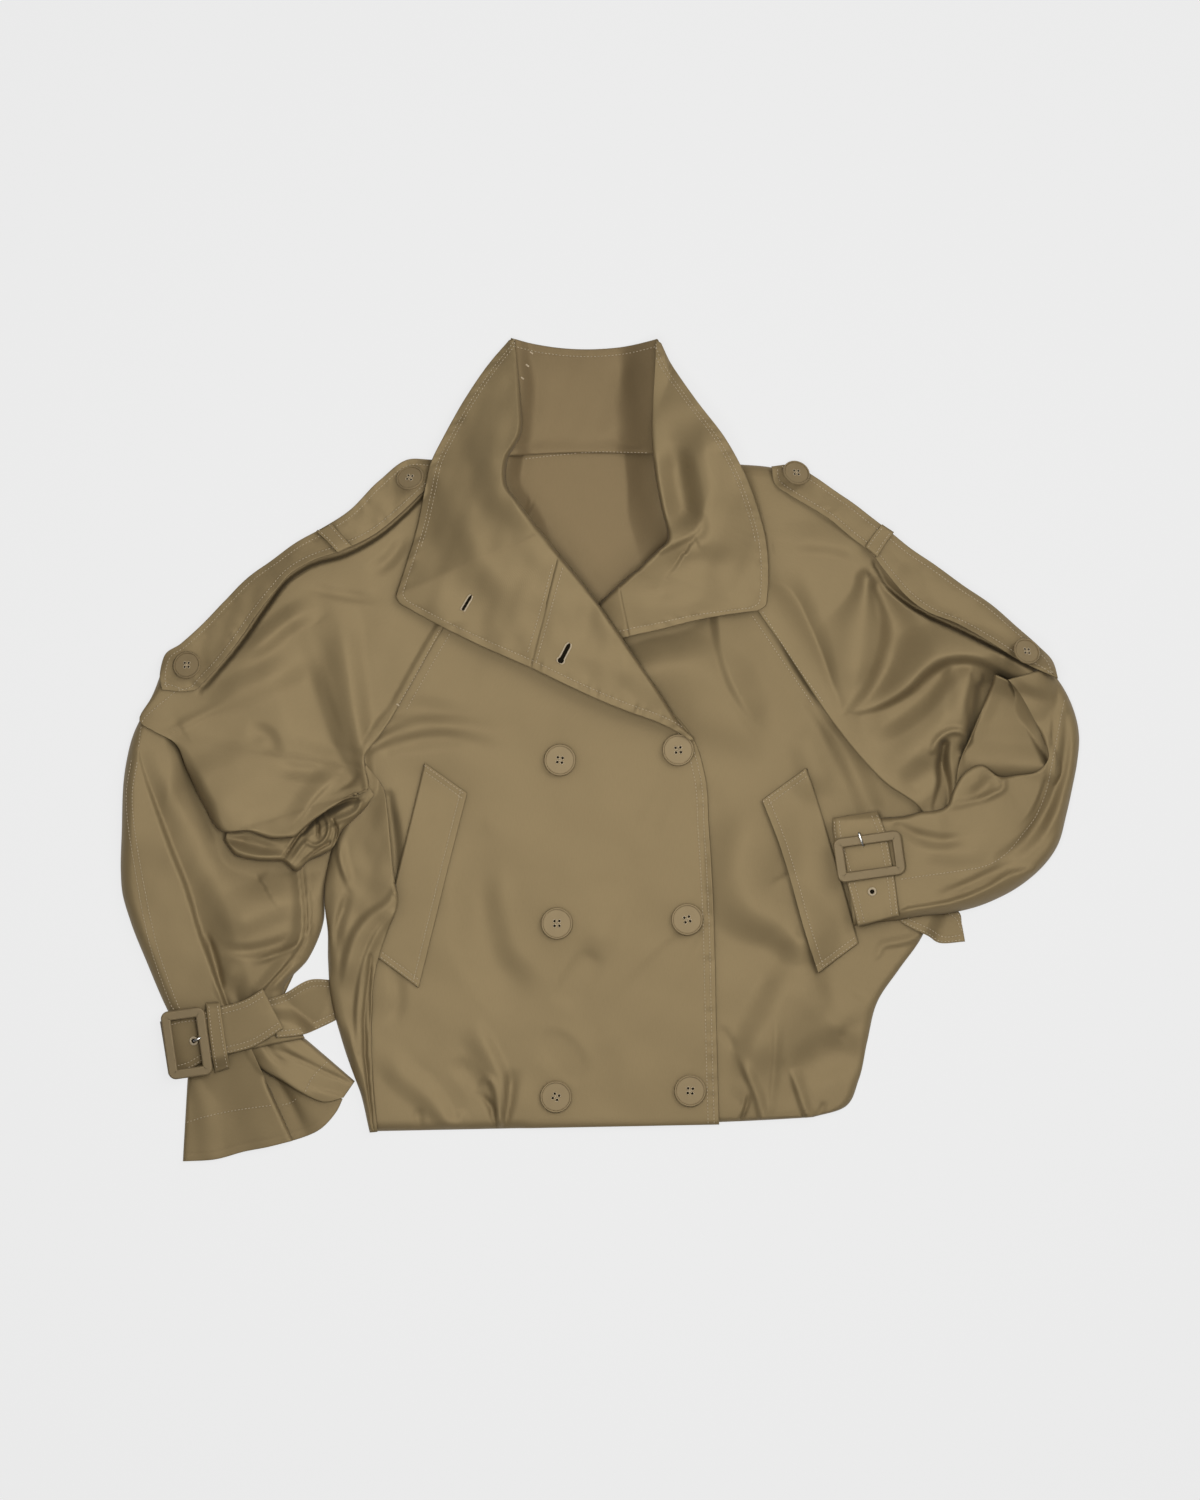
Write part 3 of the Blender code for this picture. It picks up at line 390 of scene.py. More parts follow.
@dataclass
class Panel:
    """One cut piece of cloth: its sections, its edges and how it lies.

    Attributes:
        name: The piece's name.
        sections: Its table of sections, from its first edge to its last.
        edges: How edges a, b, first and last are finished.
        wall: The cloth's thickness.
        folds: Its folds.
        roll: Radius of a rolled edge.
        reach: How far round it a height beneath is felt.
        step: Its mesh's spacing.
        pucker: Height of the puckers along its stitched edges, in mm.
        levels: How steeply it climbs at edge a and at edge b, where 1 is an even slope.
        corners: Sections at which the edges turn sharply.
        seam_rows: Sections from the first over which edge b is a seam instead, and runs on a little
            under the piece sewn to it.
        rolls: For an edge, pairs of a section and the share of the roll's radius there, which
            changes evenly in between.
        closed: Seams at which its allowance goes down to what lies beneath.
        nodes: The solids that it stands for, if not the one of its own name.
    """

    name: str
    sections: Sequence[Section]
    edges: dict[str, Edge] = field(default_factory=dict)
    wall: float = 1.5 * MM
    folds: FoldField = field(default_factory=FoldField)
    roll: float = 0.010
    reach: float = 0.0045
    step: float = 0.0021
    pucker: float = 0.0
    levels: tuple[float, float] = (1.0, 1.0)
    seam_rows: int = 0
    rolls: dict[str, tuple[tuple[int, float], ...]] = field(default_factory=dict)
    corners: tuple[int, ...] = ()
    held: str = "laid"
    closed: tuple[str, ...] = ()
    nodes: tuple[str, ...] = ()
    grid: Points = None
    least: Points = None
    spans: dict[str, Points] = field(default_factory=dict)
    tree: BVHTree = None

    TURN = (0.0, 0.2 * MM, 0.45 * MM, 0.9 * MM, 2.0 * MM)
    TURN_RADIUS = 0.8 * MM
    STITCH_IN = 6.5 * MM
    TUCK = 3.0 * MM
    GAP = 0.25 * MM
    ALLOWANCE = 5 * MM

    def __post_init__(self) -> None:
        """Takes the solid of its own name if none is named."""
        self.nodes = self.nodes or (self.name.lower(),)

    def finish_of(self, edge: str) -> Edge:
        """How one edge is finished."""
        return self.edges.get(edge, Edge.PLAIN)

    def offsets(self, edge: str) -> list[float]:
        """Distances from an edge at which the mesh has extra lines.

        Args:
            edge: The edge.

        Returns:
            The distances.
        """
        finish = self.finish_of(edge)
        if finish is Edge.TURNED:
            stitch = self.STITCH_IN
            return [*self.TURN, 3.8 * MM, stitch - 1.1 * MM, stitch, stitch + 1.1 * MM]
        if finish is Edge.ROLLED:
            return [self.roll * (1 - math.cos(math.pi / 2 * k / 6)) for k in range(6)]
        if finish is Edge.TUCKED:
            return [-self.TUCK, 0.0]
        return [0.0]

    def marks(self, length: Points, first: str, last: str) -> Points:
        """Distances of the mesh's lines across a stretch of each length.

        Args:
            length: One length for each line across.
            first: The edge at the start.
            last: The edge at the end.

        Returns:
            An array of lengths by marks.
        """
        start, end = self.offsets(first), self.offsets(last)
        longest = float(length.max())
        inner = max(2, round((longest - start[-1] - end[-1]) / self.step))
        squeeze = np.minimum(1, length / (2.2 * (start[-1] + end[-1]) + 1e-9))[:, None]
        left = np.array(start)[None, :] * squeeze
        right = length[:, None] - np.array(end[::-1])[None, :] * squeeze
        share = np.linspace(0, 1, inner + 1)[1:-1][None, :]
        middle = left[:, -1:] + (right[:, :1] - left[:, -1:]) * share
        return np.concatenate([left, middle, right], axis=1)

    def lofted(self) -> tuple[Points, Points, Points]:
        """Rows of the sections' table along the panel, on a smooth curve.

        Returns:
            The rows, one for each line of the mesh, their distance along the panel, and that of
            each section.
        """
        table = np.array(self.sections, float)
        ends = table[:, :4].reshape(-1, 2, 2)
        steps = np.linalg.norm(np.diff(ends, axis=0), axis=2).mean(axis=1) * Plan.UNIT
        knots = np.concatenate([[0], np.cumsum(steps)])
        slope = np.diff(table, axis=0) / steps[:, None]
        inner = slope[1:] * steps[:-1, None] + slope[:-1] * steps[1:, None]
        inner = inner / (steps[1:] + steps[:-1])[:, None]
        turn = np.vstack([slope[:1], inner, slope[-1:]])
        start, end = turn.copy(), turn.copy()
        for corner in self.corners:
            start[corner] = slope[corner]
            end[corner] = slope[corner - 1]
        asked = self.marks(np.array([knots[-1]]), "first", "last")[0]
        at = np.clip(asked, 0, knots[-1])
        i = np.clip(np.searchsorted(knots, at, side="right") - 1, 0, len(steps) - 1)
        h = steps[i][:, None]
        t = ((at - knots[i]) / steps[i])[:, None]
        rows = (
            (2 * t**3 - 3 * t**2 + 1) * table[i] + (t**3 - 2 * t**2 + t) * h * start[i]
            + (3 * t**2 - 2 * t**3) * table[i + 1] + (t**3 - t**2) * h * end[i + 1]
        )
        rows += np.where(asked < 0, asked, 0)[:, None] * turn[0]
        rows += np.where(asked > knots[-1], asked - knots[-1], 0)[:, None] * turn[-1]
        return rows, asked, knots

    def shape(self, pile: Pile) -> Points:
        """Works out the panel's top surface.

        Args:
            pile: What lies beneath.

        Returns:
            Rows by columns by xyz.
        """
        rows, along, knots = self.lofted()
        ax, ay, bx, by, ha, hb, bow = [rows[:, k, None] for k in range(7)]
        width = np.maximum(np.hypot(bx - ax, by - ay), 1e-6)
        metres = width[:, 0] * Plan.UNIT
        seam = 1 - eased((along - knots[self.seam_rows] + 0.01) / 0.02) if self.seam_rows else 0 * along
        from_a = self.marks(metres + self.TUCK * seam, "a", "b")
        u = from_a / metres[:, None]
        side = 4 * u * (1 - u) * bow / width
        across = ax + (bx - ax) * u + (by - ay) * side
        down = ay + (by - ay) * u - (bx - ax) * side
        x, y = Plan.place(across, down)
        beneath = pile.under(x, y, self.reach)
        self.least = least = beneath + self.wall + np.where(beneath > 0, self.GAP, 0)
        start, end = self.levels
        t = np.clip(u, 0, 1)
        risen = (t**3 - 2 * t**2 + t) * start + (3 * t**2 - 2 * t**3) + (t**3 - t**2) * end
        height = (ha + (hb - ha) * risen) * MM + self.folds.relief(x, y)
        height = least + softened(height - least)
        run = np.linalg.norm(np.diff(np.stack([x, y], -1), axis=0), axis=-1)
        walked = np.vstack([np.zeros((1, run.shape[1])), np.cumsum(run, axis=0)])
        self.spans = {"a": from_a, "b": metres[:, None] - from_a,
                      "first": walked, "last": walked[-1:] - walked}
        rise = np.ones_like(x)
        for edge, distance in self.spans.items():
            if self.finish_of(edge) is Edge.ROLLED:
                pairs = self.rolls.get(edge, ((0, 1.0),))
                share = np.interp(along, [knots[k] for k, _ in pairs], [size for _, size in pairs])
                near = np.clip(distance / (self.roll * share[:, None]), 0, 1)
                turn = np.sqrt(np.maximum(1 - (1 - near) ** 2, 0))
                if edge == "b":
                    turn = 1 - (1 - turn) * (1 - seam[:, None])
                rise = rise * turn
        z = least + (height - least) * rise
        for edge, distance in self.spans.items():
            if self.finish_of(edge) is Edge.TURNED:
                length = along[:, None] + 0 * x if edge in "ab" else from_a
                z = z + self.edge_form(distance, length, edge)
        return np.stack([x, y, z], -1)

    def edge_form(self, distance: Points, length: Points, edge: str) -> Points:
        """Height that the turned and stitched edge adds.

        Args:
            distance: Distance of each point from the edge.
            length: Distance of each point along the edge.
            edge: The edge's name, which seeds its puckers.

        Returns:
            The added height.
        """
        near = np.clip(distance / self.TURN_RADIUS, 0, 1)
        drop = -self.TURN_RADIUS * 0.7 * (1 - np.sqrt(np.maximum(1 - (1 - near) ** 2, 0)))
        groove = -0.14 * MM * np.exp(-(((distance - self.STITCH_IN) / (0.8 * MM)) ** 2))
        band = np.exp(-(((distance - self.STITCH_IN * 0.8) / (4.5 * MM)) ** 2))
        seed = sum(map(ord, self.name + edge))
        puckers = waves(length, length * 0, 9.5 * MM, seed)
        return drop + groove + puckers * band * self.pucker * MM

    def build(self, pile: Pile, beneath: Pile) -> Piece:
        """Makes the panel's mesh and adds it to the pile.

        Args:
            pile: Everything laid so far, which then holds this panel too.
            beneath: What the panel rests on.

        Returns:
            The panel's object.
        """
        self.grid = self.shape(beneath)
        pile.lay(self.grid)
        rows, columns = self.grid.shape[:2]
        index = np.arange(rows * columns).reshape(rows, columns)
        faces = np.stack([index[:-1, :-1], index[1:, :-1], index[1:, 1:], index[:-1, 1:]], -1)
        faces = faces.reshape(-1, 4)
        points = self.grid.reshape(-1, 3)
        corner = points[faces[len(faces) // 2]]
        if np.cross(corner[1] - corner[0], corner[2] - corner[0])[2] < 0:
            faces = faces[:, ::-1]
        self.tree = BVHTree.FromPolygons(points.tolist(), faces.tolist())
        walked = self.spans["first"] + 0 * self.spans["a"]
        flat = np.stack([self.spans["a"], walked], -1).reshape(-1, 2)
        for edge in self.closed:
            strip, quads = self.allowance(edge, len(points))
            at = self.border(edge, index)
            points, faces = np.vstack([points, strip]), np.vstack([faces, quads])
            flat = np.vstack([flat, flat[at], flat[at] + (0, self.ALLOWANCE)])
        mesh = bpy.data.meshes.new(self.name)
        mesh.from_pydata(points.tolist(), [], faces.tolist())
        cloth = mesh.uv_layers.new(name="Cloth")
        order = np.empty(len(mesh.loops), int)
        mesh.loops.foreach_get("vertex_index", order)
        cloth.data.foreach_set("uv", flat[order].ravel())
        mesh.shade_smooth()
        made = linked(self.name, mesh)
        solid = made.modifiers.new("Wall", "SOLIDIFY")
        solid.thickness = self.wall
        solid.offset = -1
        return made

    @staticmethod
    def border(edge: str, table: Points, inner: int = 0) -> Points:
        """The line of a table of rows and columns at an edge, or some lines in from it."""
        return {"a": table[:, inner], "b": table[:, -1 - inner],
                "first": table[inner], "last": table[-1 - inner]}[edge]

    def allowance(self, edge: str, base: int) -> tuple[Points, Points]:
        """The seam allowance of an edge, turned straight down.

        Args:
            edge: The edge.
            base: How many points the mesh has before it.

        Returns:
            Its points, upper line first, and its faces.
        """
        top = self.border(edge, self.grid) - (0, 0, 0.3 * MM)
        out = top - self.border(edge, self.grid, 1)
        foot = top.copy()
        foot[:, 2] = np.minimum(self.border(edge, self.least) - self.wall, top[:, 2] - 0.6 * MM)
        count = len(top)
        k = np.arange(count - 1)
        quads = base + np.stack([k, k + 1, k + 1 + count, k + count], -1)
        turn = np.cross(top[1:] - top[:-1], foot[:-1] - top[:-1])
        if (turn * out[:-1]).sum() < 0:
            quads = quads[:, ::-1]
        return np.vstack([top, foot]), quads

    def line_in(self, edge: str, offset: float) -> Points:
        """A line on the cloth at an even distance from an edge.

        Args:
            edge: a, b, first or last.
            offset: The distance.

        Returns:
            Its points' x and y.
        """
        distance, grid = self.spans[edge], self.grid
        if edge in ("first", "last"):
            distance, grid = distance.T, grid.transpose(1, 0, 2)
        if edge in ("b", "last"):
            distance, grid = distance[:, ::-1], grid[:, ::-1]
        line = [
            [np.interp(offset, far, row[:, axis]) for axis in (0, 1)] for far, row in zip(distance, grid)
        ]
        return np.array(line)


def softened(spare: Points, scale: float = 0.8 * MM) -> Points:
    """Spare height that may not be negative, with a soft knee."""
    return np.where(spare > scale, spare, scale * np.exp(np.minimum(spare / scale - 1, 0)))


# Rows of these tables: ax, ay, bx, by, then ha, hb and bow where they aren't 0.
BACK = sections(
    (500, 450, 682, 450),
    (496, 485, 692, 485),
    (480, 545, 710, 545),
    (446, 628, 760, 628),
    (404, 704, 812, 704),
    (374, 756, 856, 762),
    (350, 820, 918, 812),
    (341, 860, 930, 850),
    (337, 900, 930, 895),
    (340, 960, 898, 960),
    (349, 1010, 868, 1010),
    (364, 1065, 856, 1062),
    (378, 1120, 830, 1106),
)

COLLAR_BACK = sections(
    (511, 338.5, 657, 340.5, 3, 3, -10),
    (508, 370, 668, 372, 4, 4, -4),
    (506, 410, 672, 410, 4, 4),
    (508, 457, 672, 457, 3, 3, 4),
)

RIGHT_SLEEVE_UNDER = sections(
    (425, 470, 470, 560),
    (345, 534, 430, 642),
    (275, 580, 398, 708),
    (180, 668, 368, 755),
    (138, 745, 350, 805),
    (130, 800, 332, 845),
    (128, 880, 318, 890),
    (152, 955, 302, 955),
    (174, 1010, 282, 1000),
)

RIGHT_CUFF_UNDER = sections(
    (192, 1075, 191, 1150),
    (215, 1062, 225, 1154),
    (245, 1054, 262, 1142),
    (270, 1048, 300, 1135),
    (290, 1044, 334, 1103),
    (304, 1043, 346, 1081),
)

LEFT_SLEEVE_UNDER = sections(
    (755, 474, 748, 580),
    (820, 496, 788, 652),
    (870, 530, 812, 688),
    (920, 568, 836, 722),
    (1012, 640, 884, 780),
    (1062, 710, 934, 802),
    (1070, 760, 944, 804),
    (1054, 838, 952, 804),
    (1012, 882, 944, 808),
    (955, 906, 926, 815),
    (900, 912, 898, 826),
    (858, 919, 842, 824),
)

LEFT_FRONT = sections(
    (640, 592, 742, 590, 12, 13),
    (618, 622, 761.5, 619, 12, 12),
    (594, 655, 784.5, 652, 10, 11),
    (562, 700, 816, 698, 6, 10),
    (541, 740, 843.5, 736, 5, 10),
    (533, 780, 880, 777, 5, 9),
    (531, 815, 925, 811, 5, 7),
    (531, 860, 940, 855, 5, 6),
    (531, 905, 936, 900, 5, 6),
    (531, 940, 921, 938, 5, 6),
    (531, 970, 899, 969, 5, 8),
    (531, 1002, 878, 1000, 5, 9),
    (531, 1045, 867, 1042, 5, 10),
    (531, 1082, 858.5, 1080, 5, 10),
    (531, 1107, 846, 1106, 5, 10),
    (531, 1124, 813, 1117, 5, 9, -3),
)

RIGHT_FRONT = sections(
    (487, 548, 540, 531, 8, 9),
    (463.5, 598, 586, 588, 9, 9),
    (442.3, 630, 614, 628, 10, 9),
    (421, 666, 638, 664, 10, 9),
    (399, 705, 664, 702, 10, 9),
    (367, 753, 697, 747, 10, 9),
    (371, 778, 705, 776, 8, 9),
    (373, 830, 709, 830, 8, 9),
    (375, 900, 713, 900, 8, 9),
    (374, 960, 715, 960, 8, 9),
    (371, 1010, 716, 1010, 8, 9),
    (374, 1070, 717.5, 1070, 9, 9),
    (379, 1131, 719, 1124, 10, 9),
)

RIGHT_SIDE = sections(
    (367, 764, 371, 770, 11, 11),
    (354, 792, 384, 789, 12, 13),
    (344, 815, 388, 812, 12, 14),
    (334, 842, 391, 842, 12, 15),
    (327, 872, 394, 872, 13, 15),
    (325, 902, 398.5, 902, 13, 15),
    (328, 932, 388, 932, 13, 14),
    (328, 958, 379, 958, 12, 12),
    (332, 1000, 372, 1000, 11, 11),
    (345, 1050, 372, 1050, 11, 11),
    (361, 1094, 374, 1094, 11, 11),
    (370, 1132, 378, 1131, 10, 10),
)

RIGHT_SLEEVE_LOWER = sections(
    (151, 700, 236, 690, 9, 9),
    (134.5, 732, 245, 738, 16, 8),
    (127.5, 757, 262, 785, 21, 6),
    (123.5, 785, 300, 815, 22, 5),
    (122, 830, 333, 846, 21, 6),
    (121, 872, 327, 876, 17, 9),
    (123, 895, 325, 900, 16, 9),
    (131, 922, 324, 920, 16, 9),
    (147, 962, 309, 958, 15, 9),
    (163, 1000, 284, 989, 12, 9),
    (178, 1032, 292, 1014, 9, 8),
    (187.5, 1061, 305.5, 1037, 7, 7),
)

RIGHT_SLEEVE_UPPER = sections(
    (441, 463, 464, 598, 8, 9),
    (398, 470, 443, 630, 9, 10),
    (340, 528, 422, 666, 10, 10),
    (276, 570, 400, 705, 12, 10),
    (202, 632, 378, 739, 14, 11),
    (164, 668, 368, 752, 14, 12),
    (152, 698, 365, 757, 14, 12),
    (141, 721, 365, 763, 14, 13),
    (157, 732, 366, 768, 15, 13),
    (176, 743, 367, 773, 16, 14),
    (188, 770, 369, 779, 19, 15),
    (204, 804, 370, 784, 22, 16),
    (222, 831, 370, 787, 24, 17),
    (247, 831, 368, 789, 24, 18),
    (272, 838, 363, 791, 24, 20, 2),
    (296, 837, 356, 794, 24, 21, 3),
)

RIGHT_CUFF = sections(
    (189, 1058, 183, 1161, 7, 6),
    (202, 1050, 215, 1159, 9, 7),
    (222, 1044, 245, 1151, 11, 8),
    (238, 1040, 270, 1146, 13, 10),
    (248, 1038, 293.5, 1140, 15, 11),
)

RIGHT_CUFF_PLEAT = sections(
    (240, 1050, 280, 1143),
    (257, 1060, 296, 1139.5, 0, 2),
    (280, 1072, 321, 1128.5, 8, 6),
    (300, 1084, 337, 1111, 11, 6),
    (320, 1092, 343, 1098.5, 10, 6),
)

RIGHT_CUFF_BACK = sections(
    (262, 1020, 247, 1052, 13, 11),
    (281, 1024, 260, 1068, 13, 14),
    (302, 1036, 283, 1080.5, 11, 15),
    (322, 1052.5, 303, 1092.5, 9, 14),
    (340, 1068, 325, 1101, 8, 10),
    (355, 1081, 344, 1097, 6, 7),
)

LEFT_SLEEVE_UPPER = sections(
    (735, 464, 742, 588, 8, 13),
    (778, 469, 761, 617, 9, 12),
    (822, 490, 785, 651, 11, 10),
    (872, 524, 807, 685, 13, 11),
    (920, 561, 829.5, 719, 15, 11),
    (975, 599, 857, 754, 21, 12),
    (1022, 640, 887, 785, 24, 14),
    (1052, 676, 913, 802, 19, 14),
    (1058, 705, 922, 812, 12, 12),
    (1060, 735, 925, 820, 8, 12),
    (1058, 772, 926, 827, 7, 11),
)

LEFT_SLEEVE_ELBOW = sections(
    (993, 675, 1014, 685, 22, 22),
    (987, 694, 1032, 704, 12, 12),
    (979, 716, 1042, 722, 9, 9),
    (970, 738, 1050, 744, 12, 13),
    (958, 764, 1054, 768, 15, 17),
    (955, 785, 1050, 788, 6, 6),
)

LEFT_SLEEVE_LOWER = sections(
    (1046, 668, 1006, 680, 14, 13),
    (1060, 684, 1016, 691, 16, 14),
    (1072, 706, 1029, 713, 16, 16),
    (1079, 738, 1042, 740, 16, 19),
    (1077, 762, 1047, 757, 16, 20),
    (1072, 788, 1036, 771, 16, 20),
    (1066, 815, 1015, 775, 17, 19),
    (1058, 844, 997, 776, 18, 20),
    (1043, 866, 980, 765, 19, 22),
    (1021, 885, 964, 772, 20, 21),
    (996, 899, 953, 788, 20, 20),
    (972, 908, 946, 805, 20, 19),
    (948, 913, 936, 810, 20, 20),
    (925, 915, 919, 812, 20, 20),
    (900, 919, 902, 816, 20, 20),
    (876, 922, 873, 818, 19, 20),
    (853, 925, 836, 820, 18, 18),
)

RIGHT_COLLAR = sections(
    (509, 341, 514, 339.5, 7, 8),
    (492, 361, 517, 362, 13, 17),
    (466, 399, 521, 400, 19, 26),
    (444, 438, 521, 436, 21, 34),
    (431, 465, 508, 461, 20, 40),
    (425, 492, 507, 484, 17, 44),
    (417, 530, 519, 503, 14, 46),
    (406, 567, 531, 519, 15, 45),
    (396.5, 597, 541, 532, 17, 43),
    (400, 604, 543, 534, 17, 42),
    (440, 626, 549, 541, 20, 40),
    (485, 648, 554, 548, 23, 38),
    (532, 668.5, 560.5, 556.5, 25, 37),
)

RIGHT_LAPEL = sections(
    (533, 669, 561.3, 557.5, 25, 37),
    (562, 683, 588, 590, 27, 35),
    (594, 698, 614, 627, 27, 33),
    (628, 712, 641, 666, 25, 29),
    (656, 722, 665, 702, 22, 24),
    (675, 731, 681, 726, 19, 20),
    (691, 741, 694, 740, 15, 15),
)

LEFT_COLLAR = sections(
    (661, 345, 656, 342, 7, 8),
    (669, 362, 655, 365, 20, 19),
    (694, 400, 653, 400, 32, 25),
    (724, 440, 652, 440, 30, 27),
    (744, 476, 655, 476, 26, 28),
    (757, 510, 661, 508, 22, 29),
    (766, 545, 667, 540, 20, 31),
    (768, 578, 656, 552, 19, 33),
    (766, 606, 646, 561, 18, 32),
    (758, 611, 642, 565, 19, 31),
    (735, 614, 637, 570, 20, 30),
    (700, 620, 631, 574, 21, 29),
    (660, 630, 623, 581, 21, 27),
    (628, 637, 617.5, 586, 20, 25),
)

LEFT_LAPEL = sections(
    (626.8, 637.6, 616.5, 587, 20, 25),
    (614, 640, 605, 598, 17, 20),
    (600, 640, 594, 612, 13, 15),
)

RIGHT_EPAULETTE = sections(
    (433, 460, 431, 485),
    (409, 460, 418, 498, 12, 13),
    (380, 481, 399, 516, 13, 14),
    (350, 511, 372, 537, 13, 15),
    (322, 529, 340, 552, 14, 18),
    (297, 543, 316, 560, 15, 21),
    (271, 562, 292, 574, 15, 22),
    (250, 577, 277, 591, 15, 22),
    (225, 602, 258, 615, 16, 21),
    (203, 625, 240, 641, 16, 20),
    (182, 644, 222, 664, 16, 19),
    (165, 657, 204, 683, 14, 18),
    (161, 675, 197, 690, 10, 15),
    (163, 690, 182, 692, 6, 12),
)

LEFT_EPAULETTE = sections(
    (784, 465, 771, 467),
    (799, 468, 774, 484, 10, 12),
    (814, 477, 788, 495, 12, 14),
    (834, 491, 808, 507, 13, 15),
    (853, 504, 830, 521, 14, 16),
    (871, 518, 850, 538, 14, 17),
    (889, 532, 868, 552, 15, 18),
    (910, 549, 887, 576, 15, 20),
    (935, 566, 904, 596, 16, 23),
    (962, 586, 925, 612, 17, 25),
    (990, 605, 955, 624, 17, 26),
    (1015, 627, 985, 641, 16, 26),
    (1038, 647, 1012, 658, 14, 25),
    (1051, 661, 1031, 668, 10, 22),
    (1056, 679, 1047, 675, 8, 18),
)

RIGHT_EPAULETTE_LOOP = sections((317, 532, 332, 524), (328, 542, 342, 535), (339, 554, 353, 547))

LEFT_EPAULETTE_LOOP = sections((881, 525, 893, 533), (872, 536, 884, 545), (864, 548, 876, 558))

RIGHT_SLEEVE_FOLD = sections(
    (230, 826, 225, 841, 12, 18),
    (238, 820, 236, 855, 8, 22),
    (253, 818, 254, 860, 7, 23),
    (272, 822, 271, 861, 7, 23),
    (284, 824, 284, 862, 9, 22),
    (292, 822, 297, 871, 14, 20),
    (301, 815, 309, 861, 14, 20),
    (311, 806, 321, 856, 14, 20),
    (322, 799, 333, 848, 14, 20),
    (334, 793, 343, 830, 15, 21),
    (348, 789, 354, 820, 16, 21),
    (359, 787, 366, 808, 17, 21),
    (368, 784, 375, 794, 17, 16),
)

RIGHT_WELT = sections(
    (425, 763, 467.5, 793),
    (409, 828, 451, 858),
    (393, 893, 435, 923),
    (378, 957, 419, 987.5),
)

LEFT_WELT = sections(
    (761.5, 800, 805.5, 768),
    (778, 842, 820, 810),
    (790, 880, 832, 850),
    (803, 928, 846, 897),
    (817.5, 972.5, 858, 943),
)

RIGHT_STRAP = sections(
    (161, 1021, 169, 1074),
    (178, 1015, 187, 1070),
    (200, 1012, 208, 1059),
    (222, 1006, 229, 1053),
    (243, 1000, 254, 1046),
    (264, 988, 285, 1027),
)

RIGHT_STRAP_TAIL = sections(
    (262, 1000, 278, 1037, 3, 1),
    (283, 994, 303, 1034, 11, 1),
    (312, 979, 326, 1025, 9),
    (333, 980, 340, 1018, 1),
)

LEFT_STRAP = sections(
    (831, 818, 876, 811),
    (833, 838, 884, 831),
    (839, 860, 889, 853),
    (846, 882, 893, 876),
    (857, 926, 897.5, 915),
)

LEFT_STRAP_TAIL = sections(
    (884, 908, 884, 890),
    (904, 924, 912, 900),
    (928, 936, 938, 902),
    (940, 943, 958, 911),
    (965, 941.5, 962, 925),
)

RIGHT_KEEPER = sections((207, 1002, 221, 1001), (210, 1030, 225, 1028), (216, 1072, 231, 1067))

